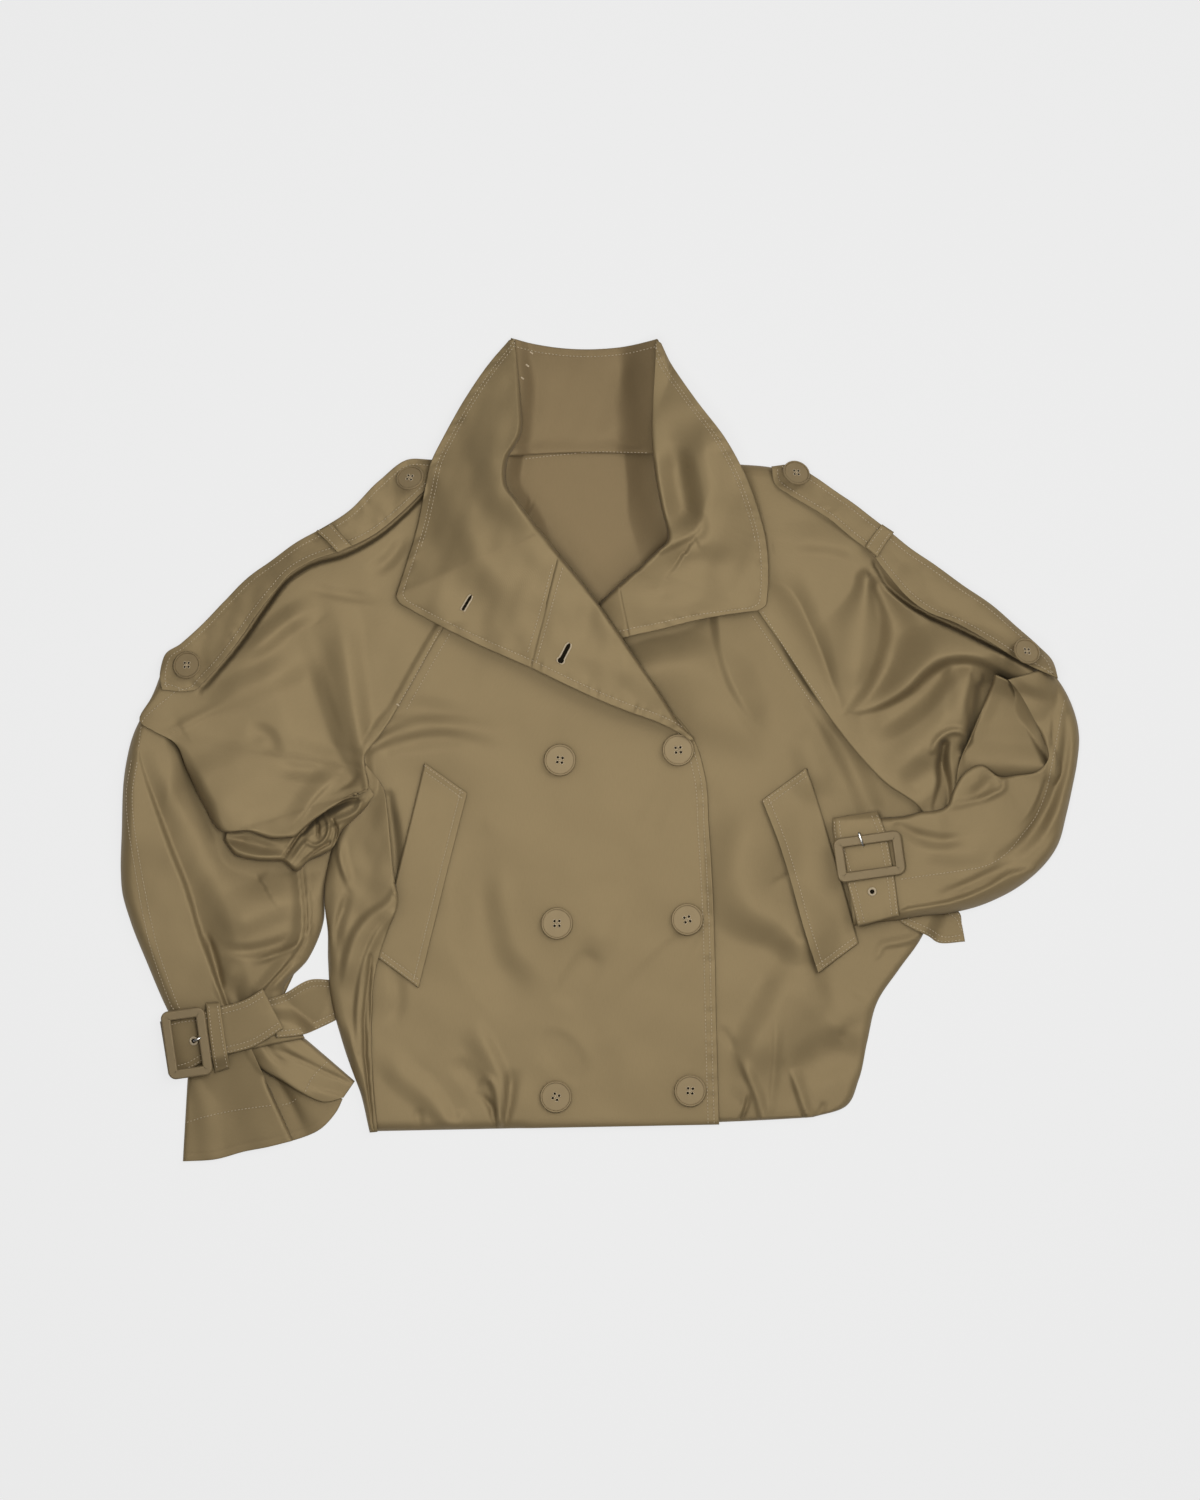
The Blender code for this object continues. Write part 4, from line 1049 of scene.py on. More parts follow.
# The fronts and the sleeves sewn to them share their folds, so the cloth runs on over each seam.
RIGHT_BODY_FOLDS = FoldField((
    # Shoulder and upper arm.
    Fold("232,662 262,644 292,620 326,604", 12, 14, 4, 0.2),
    Fold("316,600 336,612 345,650 353,700 361,742 368,786", 20, 16, 5.5, 0.15, 1.3, 0.4, 0.1, 1),
    Fold("296,640 312,690 330,740 352,780", 26, 14, -4.5, 0, 1, 0.5, 0.2, 0.6),
    Fold("366,575 390,560 410,530", 8, 8, -2, 0.1),
    Fold("300,586 340,595 386,602", 6, 8, -1.6, 0.2),
    Fold("196,716 240,692 290,668 320,640", 16, 16, 3, 0.1),
    Fold("146,750 172,733 204,716 240,700", 4, 10, 1.6, 0.5, 1, 1, 1, 0),
    Fold("196,752 216,790 240,820", 22, 44, 4, 0, 1, 1, 0.3, 0.6),
    Fold("246,731 266,735 274,748 276,760", 10, 9, -2.2, 0, 1, 1, 0, 0.2),
    Fold("274,764 296,770 335,773", 9, 8, -2.2, 0, 1, 1, 0.1, 0.2),
    Fold("337,775 316,796 298,820 284,834", 16, 4, 2.2, 0.3, 1, 1, 0.4, 0.2),
    Fold("244,822 262,826 280,834", 8, 12, -1.6, 0, 1, 1, 0.2, 0.2),
    # Under the right shoulder strap.
    Fold("206,686 240,645 264,610 287,580 314,563 345,554 376,538 402,517 424,495", 3.5, 12, -10, 0.2, 0.8,
         0.6, 0.4, 0.6),
    # Front, below the collar.
    Fold("368,750 395,734 430,726 475,729 525,741", 10, 10, 2.4, 0, 0.5, 1.3, 1, 0),
    Fold("384,717 420,709 470,719", 10, 12, -1.6, 0, 0.6, 1, 0.6, 0),
    Fold("388,750 430,739 475,737", 10, 9, -1.6, 0, 0.6, 1, 0.6, 0),
    # Front, middle.
    Fold("484,842 480,900 490,956 520,990 546,1014", 26, 20, -4.2, 0, 0.8, 1, 0.2, 0),
    Fold("596,948 574,982 558,1008", 12, 16, -2.6, 0),
    Fold("612,880 602,930 586,960", 20, 18, 2, 0),
    Fold("694,932 668,966 640,1000 604,1030", 18, 12, -3.6, 0, 0.7, 1.2, 0.6, 0),
    Fold("676,775 656,812 644,850", 12, 10, -1.6, 0, 0.6, 1.2, 0.8, 0),
    Fold("388,796 394,840 396,876", 6, 8, -4, 0.1, 0.8, 1, 0.6, 0.8),
    # Front, hem.
    Fold("394,960 398,1000 388,1030", 8, 9, -1.6, 0),
    Fold("382,1040 400,1072 430,1098 452,1126", 14, 14, 2.6, 0, 1, 0.6, 0, 1),
    Fold("452,1056 474,1080 480,1100", 10, 10, -2, 0, 1, 1, 0, 0.4),
    Fold("466,1014 482,1040 496,1066 503,1092 501,1124", 14, 9, 3.4, 0.1, 1.3, 0.4, 0, 1),
    Fold("478,1090 488,1078 496,1090 499,1122", 4, 4, 2.4, 0.2, 1, 0.6, 0.2, 1),
    Fold("482,1094 492,1106 497,1126", 5, 3, -4, 0.2, 1, 0.6, 0.2, 1),
    Fold("512,1064 508,1096 504,1126", 4, 9, -3, 0.15, 1.4, 0.6, 0, 1),
    Fold("534,1040 562,1050 584,1086", 18, 14, -2.4, 0, 1, 1, 0.2, 0),
    Fold("606,1040 604,1080 608,1120", 14, 14, -1.2, 0),
    Fold("418,1106 420,1130", 5, 5, -1.6, 0.1, 1, 1, 0, 1),
    Fold("462,1108 461,1130", 6, 6, 1.6, 0.1, 1, 1, 0, 1),
), slack=0.55)

# Forearm and cuff of the right sleeve.
RIGHT_FORE_FOLDS = FoldField((
    Fold("142,757 149,780 162,816 174,848 189,886 202,930 212,958 221,984 228,1004", 3.5, 26, -7, 0.15, 0.5,
         0.9, 0.2, 1),
    Fold("206,930 213,956 220,984", 3, 7, -3.5, 0.3, 0.6, 1, 0, 0.6),
    Fold("184,740 203,772 219,804 236,838 254,868", 40, 12, -14, 0, 0.35, 1, 0.5, 0.2),
    Fold("196,850 224,858 256,862 300,862 332,850", 28, 14, -8, 0, 1, 1, 0, 0.8),
    Fold("220,930 240,920 272,906 300,896", 15, 22, 3.4, 0),
    Fold("216,948 250,951 284,942 304,930", 7, 8, -2.8, 0.15),
    Fold("250,963 272,956 296,946 306,934", 5, 4, 2.4, 0.3, 1, 0.7, 0, 0.6),
    Fold("299,868 303,900 304,928 297,948 280,970 262,990", 16, 2.5, 3.8, 0.5, 0.8, 0.8, 0.8, 0.8),
    Fold("306,868 309,900 309,934 300,956", 2.5, 3, 2.6, 0.5, 1, 1, 0.6, 0.2),
    Fold("300,960 284,978 268,992", 5, 5, 2, 0.3),
    Fold("236,960 226,985 232,1004", 10, 10, 2, 0, 1, 0.6, 0, 1),
    # Cuff.
    Fold("192,1078 205,1110 210,1150", 10, 12, 1, 0, 0.6, 1, 1, 1),
), slack=0.4, slack_size=60)

# The pleat of the right cuff, between its two outer layers.
RIGHT_PLEAT_FOLDS = FoldField((
    Fold("266,1046 294,1056 326,1072 354,1084", 3, 5, -1.6, 0.4, 1, 1, 0.4, 0.4),
    Fold("262,1032 272,1052 290,1066", 5, 5, -1.6, 0.2, 1, 1, 1, 0),
    Fold("272,1028 290,1046 316,1062", 6, 6, 1.4, 0.1, 1, 1, 1, 0),
    Fold("254,1062 268,1082 284,1106 300,1136", 8, 12, -3, 0.1, 1, 1, 1, 0.2),
), slack=0.3, slack_size=50)

# Underarm and side, between the right sleeve and the right front.
RIGHT_SIDE_FOLDS = FoldField((
    Fold("398,892 388,905 370,918 356,938 348,966 344,1000", 7, 18, 4.5, 0.1, 0.9, 0.8, 0.8, 0),
    Fold("394,912 376,936 364,968 358,1010 360,1050", 4, 9, 2.6, 0.2, 0.8, 1, 0.6, 0.2),
    Fold("372,956 369,1000 369,1040 372,1080 378,1126", 6, 2.5, -8, 0.2, 0.5, 0.8, 0.3, 0.8),
    Fold("338,836 341,862 350,888", 3, 10, 3.4, 0.4, 1, 1, 0.4, 0.2),
    Fold("350,884 344,906 337,930 336,960", 4, 8, -3, 0.2),
    Fold("388,786 392,820 396,850 396,880", 26, 3, 3.6, 0.15, 0.5, 1, 0.4, 0.8),
    Fold("346,1014 355,1054 364,1090 371,1128", 5, 8, 2, 0.1, 1, 0.8, 0, 1),
), slack=0.5, slack_size=40)

# The gathered fold of the right sleeve at the elbow.
RIGHT_HEAP_FOLDS = FoldField((
    # The loop of the lower lip.
    Fold("226,838 246,842 268,848 284,850", 9, 7, -4, 0.1, 0.5, 0.8, 0.4, 0.4),
    # The flap, and the crease beside it.
    Fold("283,860 291,848 299,836 309,824 318,814", 3, 2.5, -5, 0.5, 1, 1, 0.6, 1),
    Fold("292,862 302,848 312,836", 4, 4, 2.4, 0.2, 1, 1, 0.6, 0.4),
    Fold("300,864 316,851 331,842", 3, 2.5, -4, 0.5, 1, 1, 0.3, 1),
    # The mouth of the tube and its lower lip.
    Fold("303,830 316,816 330,808 346,801 358,799", 7, 3, -9, 0.15, 0.7, 0.6, 1, 0.3),
    Fold("318,834 330,824 346,818 358,812 362,802", 4, 6, 3, 0.3, 1, 1, 0.4, 0.8),
    # The small tube inside the mouth.
    Fold("311,816 318,824 319,836", 2.5, 3, -6, 0.4, 1, 1, 0.6, 0.6),
    Fold("323,812 330,824 327,838 317,845 308,842", 3, 3, 4, 0.4, 1, 1, 0.6, 0.6),
    Fold("334,820 338,832 334,846", 2.5, 2.5, -6, 0.4, 1, 1, 0.6, 0.6),
), slack=0.2, slack_size=40)

LEFT_BODY_FOLDS = FoldField((
    # Front, beside the lap.
    Fold("640,673 665,667 690,670 714,684 729,707 744,732 770,758", 40, 30, 7, 0, 0.8, 0.7, 1, 0),
    Fold("606,621 640,611 684,600 722,593", 44, 12, -14, 0, 1, 0.9, 1, 0.5),
    Fold("718,616 722,648 732,680 748,708 768,734", 8, 34, 3.4, 0.2, 1, 1, 1, 0),
    Fold("768,786 753,828 743,864 743,888 754,906 779,920 800,940", 32, 40, 9.5, 0, 1, 0.7, 0, 0.9),
    Fold("800,944 808,972 818,996 835,1026", 24, 14, 3, 0.1, 0.8, 0.8, 0.8, 0.6),
    Fold("838,1022 848,1010 862,992", 16, 20, 2, 0, 0.6, 1, 0.6, 0),
    Fold("798,1090 814,1066 836,1054 854,1062 864,1082", 20, 22, -4, 0, 0.8, 0.8, 0.2, 0.2),
    Fold("782,944 787,984 775,1016 755,1050 746,1084", 24, 40, 7.5, 0, 0.7, 0.6, 0, 0.3),
    Fold("738,1054 746,1072 756,1096 762,1120", 4, 10, 3.6, 0.3, 1, 1, 0.1, 1),
    Fold("749,1092 746,1106 741,1120", 3, 3.5, -3.4, 0.4, 1, 1, 0, 1),
    Fold("775,1012 774,1054 770,1106", 3, 8, 1.6, 0.3, 1, 1, 0, 0.4),
    Fold("789,1066 796,1086 806,1117", 4, 12, 4, 0.35, 1, 0.7, 0.2, 1),
    Fold("718,1024 727,1038 736,1050", 5, 6, -1.2, 0.1, 1, 1, 0, 0),
    Fold("824,1100 820,1117", 4, 4, -1.6, 0.2, 1, 1, 0, 1),
    Fold("812,706 838,742 856,778 868,808", 10, 14, -5, 0, 0.6, 1, 0.2, 0.6),
    Fold("796,720 812,756 822,800", 18, 16, 3, 0),
    Fold("879,954 884,946 904,942 925,935", 3, 8, 2.4, 0.2, 1, 1, 0.6, 0.8),
    # Shoulder and upper arm.
    Fold("784,556 800,542 846,548 866,570", 10, 18, 3, 0),
    Fold("776,560 786,600 800,644 818,686 832,712", 14, 22, -7, 0, 0.8, 0.6, 0.2, 0.2),
    Fold("866,580 862,620 856,662 847,708", 32, 20, 7, 0, 0.3, 0.7, 0.8, 0.2),
    Fold("877,588 892,622 894,656 878,688 852,714", 14, 28, -7, 0, 0.3, 0.6, 0.5, 0.4),
    Fold("852,712 878,704 904,688 924,668 948,656 980,658 1018,678", 9, 34, 11, 0.15, 0.6, 0.8, 0.2, 0.8),
    Fold("938,678 914,702 884,722 860,730", 18, 14, -6, 0, 0.9, 1, 0.8, 0),
    Fold("956,686 944,722 914,752 880,774", 20, 22, 5, 0, 0.8, 1, 0.6, 0),
    Fold("934,760 916,780 900,794", 15, 15, -3, 0, 0.8, 1, 0.5, 0),
    Fold("932,750 938,739 950,732 962,734 967,744", 4, 6, 4, 0.3, 1, 1, 0.8, 0.8),
    Fold("943,744 941,764 943,784 940,808", 6, 7, -13, 0.1, 0.7, 1.2, 0.8, 1),
    # Inside the fold of the left elbow.
    Fold("968,680 963,706 966,738", 14, 4, 4, 0.2, 1, 1, 0.6, 0.6),
    Fold("980,688 976,716 964,748", 6, 14, -7, 0, 1, 1, 1, 1),
    Fold("1002,686 1004,720 1000,770", 32, 30, -15, 0, 0.8, 1, 1, 0.3),
    # Under the left shoulder strap.
    Fold("874,566 890,590 920,611 960,631 990,646 1018,660 1042,674", 3.5, 12, -12, 0.2, 0.5, 1, 0.2, 0.5),
), slack=0.55)

LEFT_ELBOW_FOLDS = FoldField((
    Fold("1015,684 1032,711 1048,758", 10, 4, -10, 0.1, 0.7, 0.8, 0.8, 0.8),
    Fold("990,690 980,716 964,752", 4, 10, 2, 0, 1, 1, 0.4, 0.4),
), slack=0.3, slack_size=50)

LEFT_FORE_FOLDS = FoldField((
    Fold("898,826 918,836 940,841 966,838", 9, 8, -3, 0.15, 0.7, 0.8, 0.5, 0),
    Fold("968,800 984,786 990,772", 8, 9, -3, 0.1, 1, 1, 0.3, 0.2),
    Fold("946,806 974,800 999,790 1002,780", 5, 4, 2.6, 0.3, 1, 1, 0.4, 0.8),
    Fold("1053,702 1051,740 1046,776 1032,812 1010,838", 3, 8, -2.6, 0.1),
    Fold("1066,716 1062,760 1050,800 1026,838 1000,858", 8, 10, -6, 0, 0.7, 0.8, 0.3, 0.2),
    Fold("1066,770 1054,810 1040,840", 6, 6, 2.4, 0),
    Fold("1036,868 1008,874 984,888 950,901 906,909", 3, 12, 4.4, 0.35, 1, 1, 0.5, 0.8),
    Fold("1026,858 1000,868 965,884 930,898", 5, 6, -2, 0.1),
    Fold("910,845 950,852 990,850", 12, 12, 2, 0),
), slack=0.4, slack_size=60)

# Inside the neck, where the cloth climbs to the wings of the collar.
NECK_FOLDS = FoldField((
    Fold("664,440 664,480 672,520 682,550", 34, 20, 17, 0, 1, 1, 1, 0.8),
    Fold("682,548 664,572 640,596", 16, 12, 10, 0, 1, 1, 0.8, 0.2),
    Fold("508,450 504,484 520,512 550,552", 14, 19, 11, 0.1, 0.8, 0.6, 1, 0.3),
    Fold("553,456 542,484 528,512", 9, 5, -2.4, 0.3, 1, 0.5, 0, 1),
    Fold("560,500 572,540 592,572", 16, 14, -1.2, 0),
), slack=0.7, slack_size=60)

COLLAR_BACK_FOLDS = FoldField((
    Fold("664,338 662,390 664,462", 33, 20, 20, 0, 1, 1, 1, 1),
    Fold("516,338 518,390 510,462", 14, 14, 9, 0, 0.7, 1, 0.6, 1),
    Fold("626,352 622,384 628,410", 8, 10, -1.4, 0),
    Fold("604,432 612,446 614,458", 10, 10, -0.8),
    Fold("560,380 600,390 640,384", 26, 26, -1.2),
), slack=0.7, slack_size=60)

RIGHT_COLLAR_FOLDS = FoldField((
    Fold("503,400 492,440 494,490 515,530", 16, 12, 2.2, 0, 1, 1, 0.2, 0.2),
    Fold("462,430 474,480 496,530 520,572", 26, 22, -4, 0, 1, 1, 0.2, 0.2),
    Fold("440,530 462,580 500,620", 26, 22, -3, 0, 1, 1, 0.3, 0.2),
    Fold("578,596 588,630 592,662", 14, 14, -2.2, 0),
    Fold("612,650 650,690 676,722", 14, 12, 1.4, 0),
), slack=0.8, slack_size=50)

LEFT_COLLAR_FOLDS = FoldField((
    Fold("698,412 706,450 712,490 710,518 698,536", 27, 58, 12, 0.05, 1, 0.8, 0.1, 0.6),
    Fold("674,440 680,480 686,512 692,530", 18, 14, -7, 0, 0.8, 1, 0, 0.7),
    Fold("660,551 678,542 694,532 702,516", 5, 20, 3.5, 0.2, 1, 1, 0.6, 0.4),
    Fold("664,566 700,562 738,574", 18, 16, -4, 0, 1, 1, 0.2, 0.2),
    Fold("636,612 680,604 730,596", 14, 14, 2, 0),
), slack=0.7, slack_size=60)

# Name, place and turn in degrees.
FRONT_BUTTONS: list[tuple[str, Spot, float]] = [
    ("button_front_1", (560, 760), 38),
    ("button_front_2", (678, 750), 50),
    ("button_front_3", (557, 923), 45),
    ("button_front_4", (687, 919), 60),
    ("button_front_5", (556, 1096), 20),
    ("button_front_6", (690, 1090), 40),
]

# Name, place, turn, how far it leans, and the line that it leans about, in degrees.
SHOULDER_BUTTONS: list[tuple[str, Spot, float, float, float]] = [
    ("button_shoulder_right_outer", (189, 666), 45, 18, 35),
    ("button_shoulder_right_inner", (411, 480), 30, 32, 20),
    ("button_shoulder_left_outer", (1023, 653), 45, 32, -38),
    ("button_shoulder_left_inner", (795, 475), 45, 34, -28),
]

# Side, middle, turn in degrees, and where the pin starts and ends.
BUCKLES: list[tuple[str, Spot, float, Spot, Spot]] = [
    ("right", (188.5, 1042), 8, (203, 1036), (195, 1040)),
    ("left", (868, 856), 98, (857, 832), (862, 846)),
]


def feed(tree: Tree, socket: Socket, value: object) -> None:
    """Links an input to a socket, or gives it a constant.

    Args:
        tree: The nodes.
        socket: The input.
        value: The socket or the constant.
    """
    if isinstance(value, Socket):
        tree.links.new(value, socket)
    else:
        socket.default_value = value


class Effects:
    """Shader node groups that more than one finish uses, each built once."""

    @staticmethod
    def started(name: str, inputs: dict[str, float],
                outputs: Sequence[str]) -> tuple[Tree, Node, Node]:
        """Makes an empty group.

        Args:
            name: The group's name.
            inputs: Its number inputs and their usual values, after a Vector input.
            outputs: Its number outputs.

        Returns:
            The group, its input node and its output node.
        """
        group = bpy.data.node_groups.new(name, "ShaderNodeTree")
        group.interface.new_socket("Vector", in_out="INPUT", socket_type="NodeSocketVector")
        for label, value in inputs.items():
            made = group.interface.new_socket(label, in_out="INPUT", socket_type="NodeSocketFloat")
            made.default_value = value
        for label in outputs:
            group.interface.new_socket(label, in_out="OUTPUT", socket_type="NodeSocketFloat")
        return group, group.nodes.new("NodeGroupInput"), group.nodes.new("NodeGroupOutput")

    @staticmethod
    def maths(group: Tree, operation: str, *terms: object) -> Socket:
        """Adds a Math node.

        Args:
            group: The group to add it to.
            operation: What it works out.
            terms: Its inputs, sockets or numbers.

        Returns:
            Its output.
        """
        node = group.nodes.new("ShaderNodeMath")
        node.operation = operation
        for socket, term in zip(node.inputs, terms):
            feed(group, socket, term)
        return node.outputs[0]

    @staticmethod
    def noise(group: Tree, vector: Socket, scale: object, detail: float) -> Socket:
        """Adds a Noise Texture node.

        Args:
            group: The group to add it to.
            vector: The place that it reads.
            scale: Its scale, a socket or a number.
            detail: Its detail.

        Returns:
            Its output.
        """
        node = group.nodes.new("ShaderNodeTexNoise")
        for label, value in (("Vector", vector), ("Scale", scale), ("Detail", detail)):
            feed(group, node.inputs[label], value)
        return node.outputs[0]

    @classmethod
    @cache
    def weave(cls) -> Tree:
        """The twill weave: fine diagonal ribs of raised threads, and slubs along the grain.

        Returns:
            The group. Its Vector is the place on the cloth in metres.
        """
        group, start, end = cls.started("Twill weave", {"Pitch": 0.0007}, ("Height", "Slub"))
        vector, pitch = start.outputs["Vector"], start.outputs["Pitch"]
        split = group.nodes.new("ShaderNodeSeparateXYZ")
        group.links.new(vector, split.inputs[0])
        across, along = split.outputs[0], split.outputs[1]
        slant = cls.maths(group, "MULTIPLY_ADD", along, 0.62, across)
        ribs = cls.maths(group, "DIVIDE", slant, pitch)
        rib = cls.maths(group, "SINE", cls.maths(group, "MULTIPLY", ribs, 2 * math.pi))
        picks = cls.maths(group, "DIVIDE", along, pitch)
        pick = cls.maths(group, "SINE", cls.maths(group, "MULTIPLY", picks, 2.6 * math.pi))
        both = cls.maths(group, "MULTIPLY_ADD", pick, 0.35, rib)
        group.links.new(cls.maths(group, "MULTIPLY_ADD", both, 0.36, 0.5), end.inputs["Height"])
        grain = group.nodes.new("ShaderNodeMapping")
        grain.inputs["Scale"].default_value = (1500, 130, 1)
        group.links.new(vector, grain.inputs["Vector"])
        group.links.new(cls.noise(group, grain.outputs[0], 1.0, 2.0), end.inputs["Slub"])
        return group

    @classmethod
    @cache
    def handling(cls) -> Tree:
        """Uneven tone from dyeing and handling, over tens of millimetres and over single ones.

        Returns:
            The group. Its Vector is a place in metres.
        """
        group, start, end = cls.started("Handling", {"Size": 0.06}, ("Broad", "Fine"))
        scale = cls.maths(group, "DIVIDE", 1.0, start.outputs["Size"])
        for label, factor, detail in (("Broad", 1.0, 3.0), ("Fine", 22.0, 2.0)):
            finer = cls.maths(group, "MULTIPLY", scale, factor)
            noise = cls.noise(group, start.outputs["Vector"], finer, detail)
            group.links.new(noise, end.inputs[label])
        return group

    @classmethod
    @cache
    def painted_hollow_shade(cls) -> Tree:
        """Painted shade: where cloth lies in a hollow or under a layer, ambient occlusion darkens its
        colour.

        Returns:
            The group. Its output, the painted shade, is 0 on open cloth and 1 in a closed gap.
        """
        group, start, end = cls.started("Painted hollow shade", {"Reach": 0.03}, ("Depth",))
        sky = group.nodes.new("ShaderNodeAmbientOcclusion")
        sky.samples = 8
        group.links.new(start.outputs["Reach"], sky.inputs["Distance"])
        group.links.new(cls.maths(group, "SUBTRACT", 1.0, sky.outputs["AO"]), end.inputs["Depth"])
        return group


def darkened(colour: Colour, share: float) -> tuple[float, float, float, float]:
    """A colour with an alpha, scaled by share."""
    return (colour[0] * share, colour[1] * share, colour[2] * share, 1.0)


@dataclass(frozen=True)
class Finish:
    """What every finish shares: a named material with a Principled surface."""

    name: str
    colour: Colour
    roughness: float = 0.5

    def started(self, settings: dict[str, object]) -> tuple[Tree, Node, Socket]:
        """Makes the material's nodes.

        Args:
            settings: Constants for its Principled node's own inputs.

        Returns:
            The node tree, its Principled node, and the place on the piece.
        """
        made = bpy.data.materials.new(self.name)
        made.use_nodes = True
        tree = made.node_tree
        surface = tree.nodes["Principled BSDF"]
        base = {"Base Color": darkened(self.colour, 1), "Roughness": self.roughness}
        for label, value in {**base, **settings}.items():
            surface.inputs[label].default_value = value
        return tree, surface, tree.nodes.new("ShaderNodeTexCoord").outputs["Object"]

    def toned(self, size: float, band: str, low: float, high: float, relief: float,
              settings: dict[str, object]) -> Material:
        """Makes a material with an uneven tone and a fine relief.

        Args:
            size: The usual size of a patch of its tone.
            band: What varies its colour, Broad or Fine.
            low: Its darkest, as a share of its colour.
            high: Its lightest.
            relief: The relief's depth, or 0 for none.
            settings: Constants for its Principled node's own inputs.

        Returns:
            The material.
        """
        tree, surface, place = self.started(settings)
        tone = self.group(tree, Effects.handling(), place, Size=size)
        colour = self.blend(tree, tone.outputs[band], low, high)
        tree.links.new(colour, surface.inputs["Base Color"])
        if relief:
            self.bump(tree, surface, tone.outputs["Fine"], relief)
        return bpy.data.materials[self.name]

    @staticmethod
    def group(tree: Tree, kind: Tree, vector: Socket, **values: float) -> Node:
        """Places a shared group in the material.

        Args:
            tree: The material's nodes.
            kind: The group.
            vector: What its Vector reads.
            values: Its other inputs.

        Returns:
            The group's node.
        """
        node = tree.nodes.new("ShaderNodeGroup")
        node.node_tree = kind
        for label, value in {"Vector": vector, **values}.items():
            feed(tree, node.inputs[label], value)
        return node

    def blend(self, tree: Tree, share: Socket, low: Socket | float, high: float) -> Socket:
        """Mixes a colour with a shade of the finish's own.

        Args:
            tree: The material's nodes.
            share: How much of the second.
            low: The first, a socket or a shade, as a share of the finish's colour.
            high: The second, a shade.

        Returns:
            The mixed colour's socket.
        """
        node = tree.nodes.new("ShaderNodeMix")
        node.data_type = "RGBA"
        first = low if isinstance(low, Socket) else darkened(self.colour, low)
        for slot, value in ((0, share), (6, first), (7, darkened(self.colour, high))):
            feed(tree, node.inputs[slot], value)
        return node.outputs[2]

    @staticmethod
    def bump(tree: Tree, surface: Node, height: Socket, depth: float) -> None:
        """Gives the surface a fine relief.

        Args:
            tree: The material's nodes.
            surface: Its Principled node.
            height: The relief, from 0 to 1.
            depth: Its depth.
        """
        node = tree.nodes.new("ShaderNodeBump")
        for label, value in (("Distance", depth), ("Strength", 1.0), ("Height", height)):
            feed(tree, node.inputs[label], value)
        tree.links.new(node.outputs[0], surface.inputs["Normal"])


@dataclass(frozen=True)
class Twill(Finish):
    """Satin cotton twill.

    Attributes:
        pitch: From one diagonal rib to the next.
        depth: The ribs' depth.
        sheen: How much light the nap catches at the edges of a form.
    """

    roughness: float = 0.60
    pitch: float = 0.0007
    depth: float = 0.00004
    sheen: float = 0.06

    def material(self) -> Material:
        """Makes the cloth's material, with painted shade where it lies in a hollow or under a layer.

        Returns:
            The material.
        """
        tree, surface, place = self.started({
            "Sheen Weight": self.sheen,
            "Sheen Roughness": 0.45,
            "Sheen Tint": (1.0, 0.93, 0.80, 1.0),
            "IOR": 1.66,
            "Specular IOR Level": 0.9,
            "Specular Tint": (1.0, 0.76, 0.42, 1.0),
        })
        cloth = tree.nodes.new("ShaderNodeUVMap")
        cloth.uv_map = "Cloth"
        weave = self.group(tree, Effects.weave(), cloth.outputs[0], Pitch=self.pitch)
        tone = self.group(tree, Effects.handling(), place, Size=0.075)
        # Painted shade: ambient occlusion, held in gap, that darkens the colour in gaps and under layers.
        gap = self.group(tree, Effects.painted_hollow_shade(), place, Reach=0.03)
        colour = self.blend(tree, tone.outputs["Broad"], 0.93, 1.07)
        colour = self.blend(tree, self.faint(tree, weave.outputs["Slub"]), colour, 0.72)
        # Painted shade: the colour darkens to a fifth of itself where the cloth lies in a hollow or under a
        # layer.
        colour = self.blend(tree, gap.outputs["Depth"], colour, 0.2)
        tree.links.new(colour, surface.inputs["Base Color"])
        self.bump(tree, surface, weave.outputs["Height"], self.depth)
        return bpy.data.materials[self.name]

    @staticmethod
    def faint(tree: Tree, value: Socket) -> Socket:
        """A mask of a few parts in a hundred, from a noise.

        Args:
            tree: The material's nodes.
            value: The noise.

        Returns:
            The mask.
        """
        node = tree.nodes.new("ShaderNodeMapRange")
        for label, term in (("Value", value), ("From Min", 0.35), ("From Max", 0.75), ("To Max", 0.22)):
            feed(tree, node.inputs[label], term)
        return node.outputs[0]


@dataclass(frozen=True)
class Thread(Finish):
    """Corespun sewing thread, a shade from the cloth."""

    roughness: float = 0.55

    def material(self) -> Material:
        """Makes the thread's material."""
        return self.toned(0.02, "Fine", 0.8, 1.15, 0.00008, {})


@dataclass(frozen=True)
class Resin(Finish):
    """Moulded resin of the buttons and buckles, with a faint cloud in it."""

    roughness: float = 0.55
    cloud: float = 0.10
    shine: float = 0.8

    def material(self) -> Material:
        """Makes the resin's material."""
        settings = {"Specular IOR Level": self.shine, "Specular Tint": (1.0, 0.8, 0.5, 1.0)}
        return self.toned(0.012, "Broad", 1 - self.cloud, 1 + self.cloud, 0.00002, settings)


@dataclass(frozen=True)
class Plated(Finish):
    """Plated metal of the pins and eyelets, with fine handling marks."""

    roughness: float = 0.28

    def material(self) -> Material:
        """Makes the metal's material."""
        return self.toned(0.006, "Broad", 0.85, 1.0, 0.00001, {"Metallic": 1.0})


@dataclass(frozen=True)
class Paper(Finish):
    """The pale studio floor, lit from below so that it stays even."""

    roughness: float = 0.9
    glow: float = 0.78

    def material(self) -> Material:
        """Makes the floor's material."""
        settings = {"Specular IOR Level": 0.0, "Emission Color": (1.0, 1.0, 1.0, 1.0),
                    "Emission Strength": self.glow}
        return self.toned(0.4, "Broad", 0.995, 1.005, 0, settings)


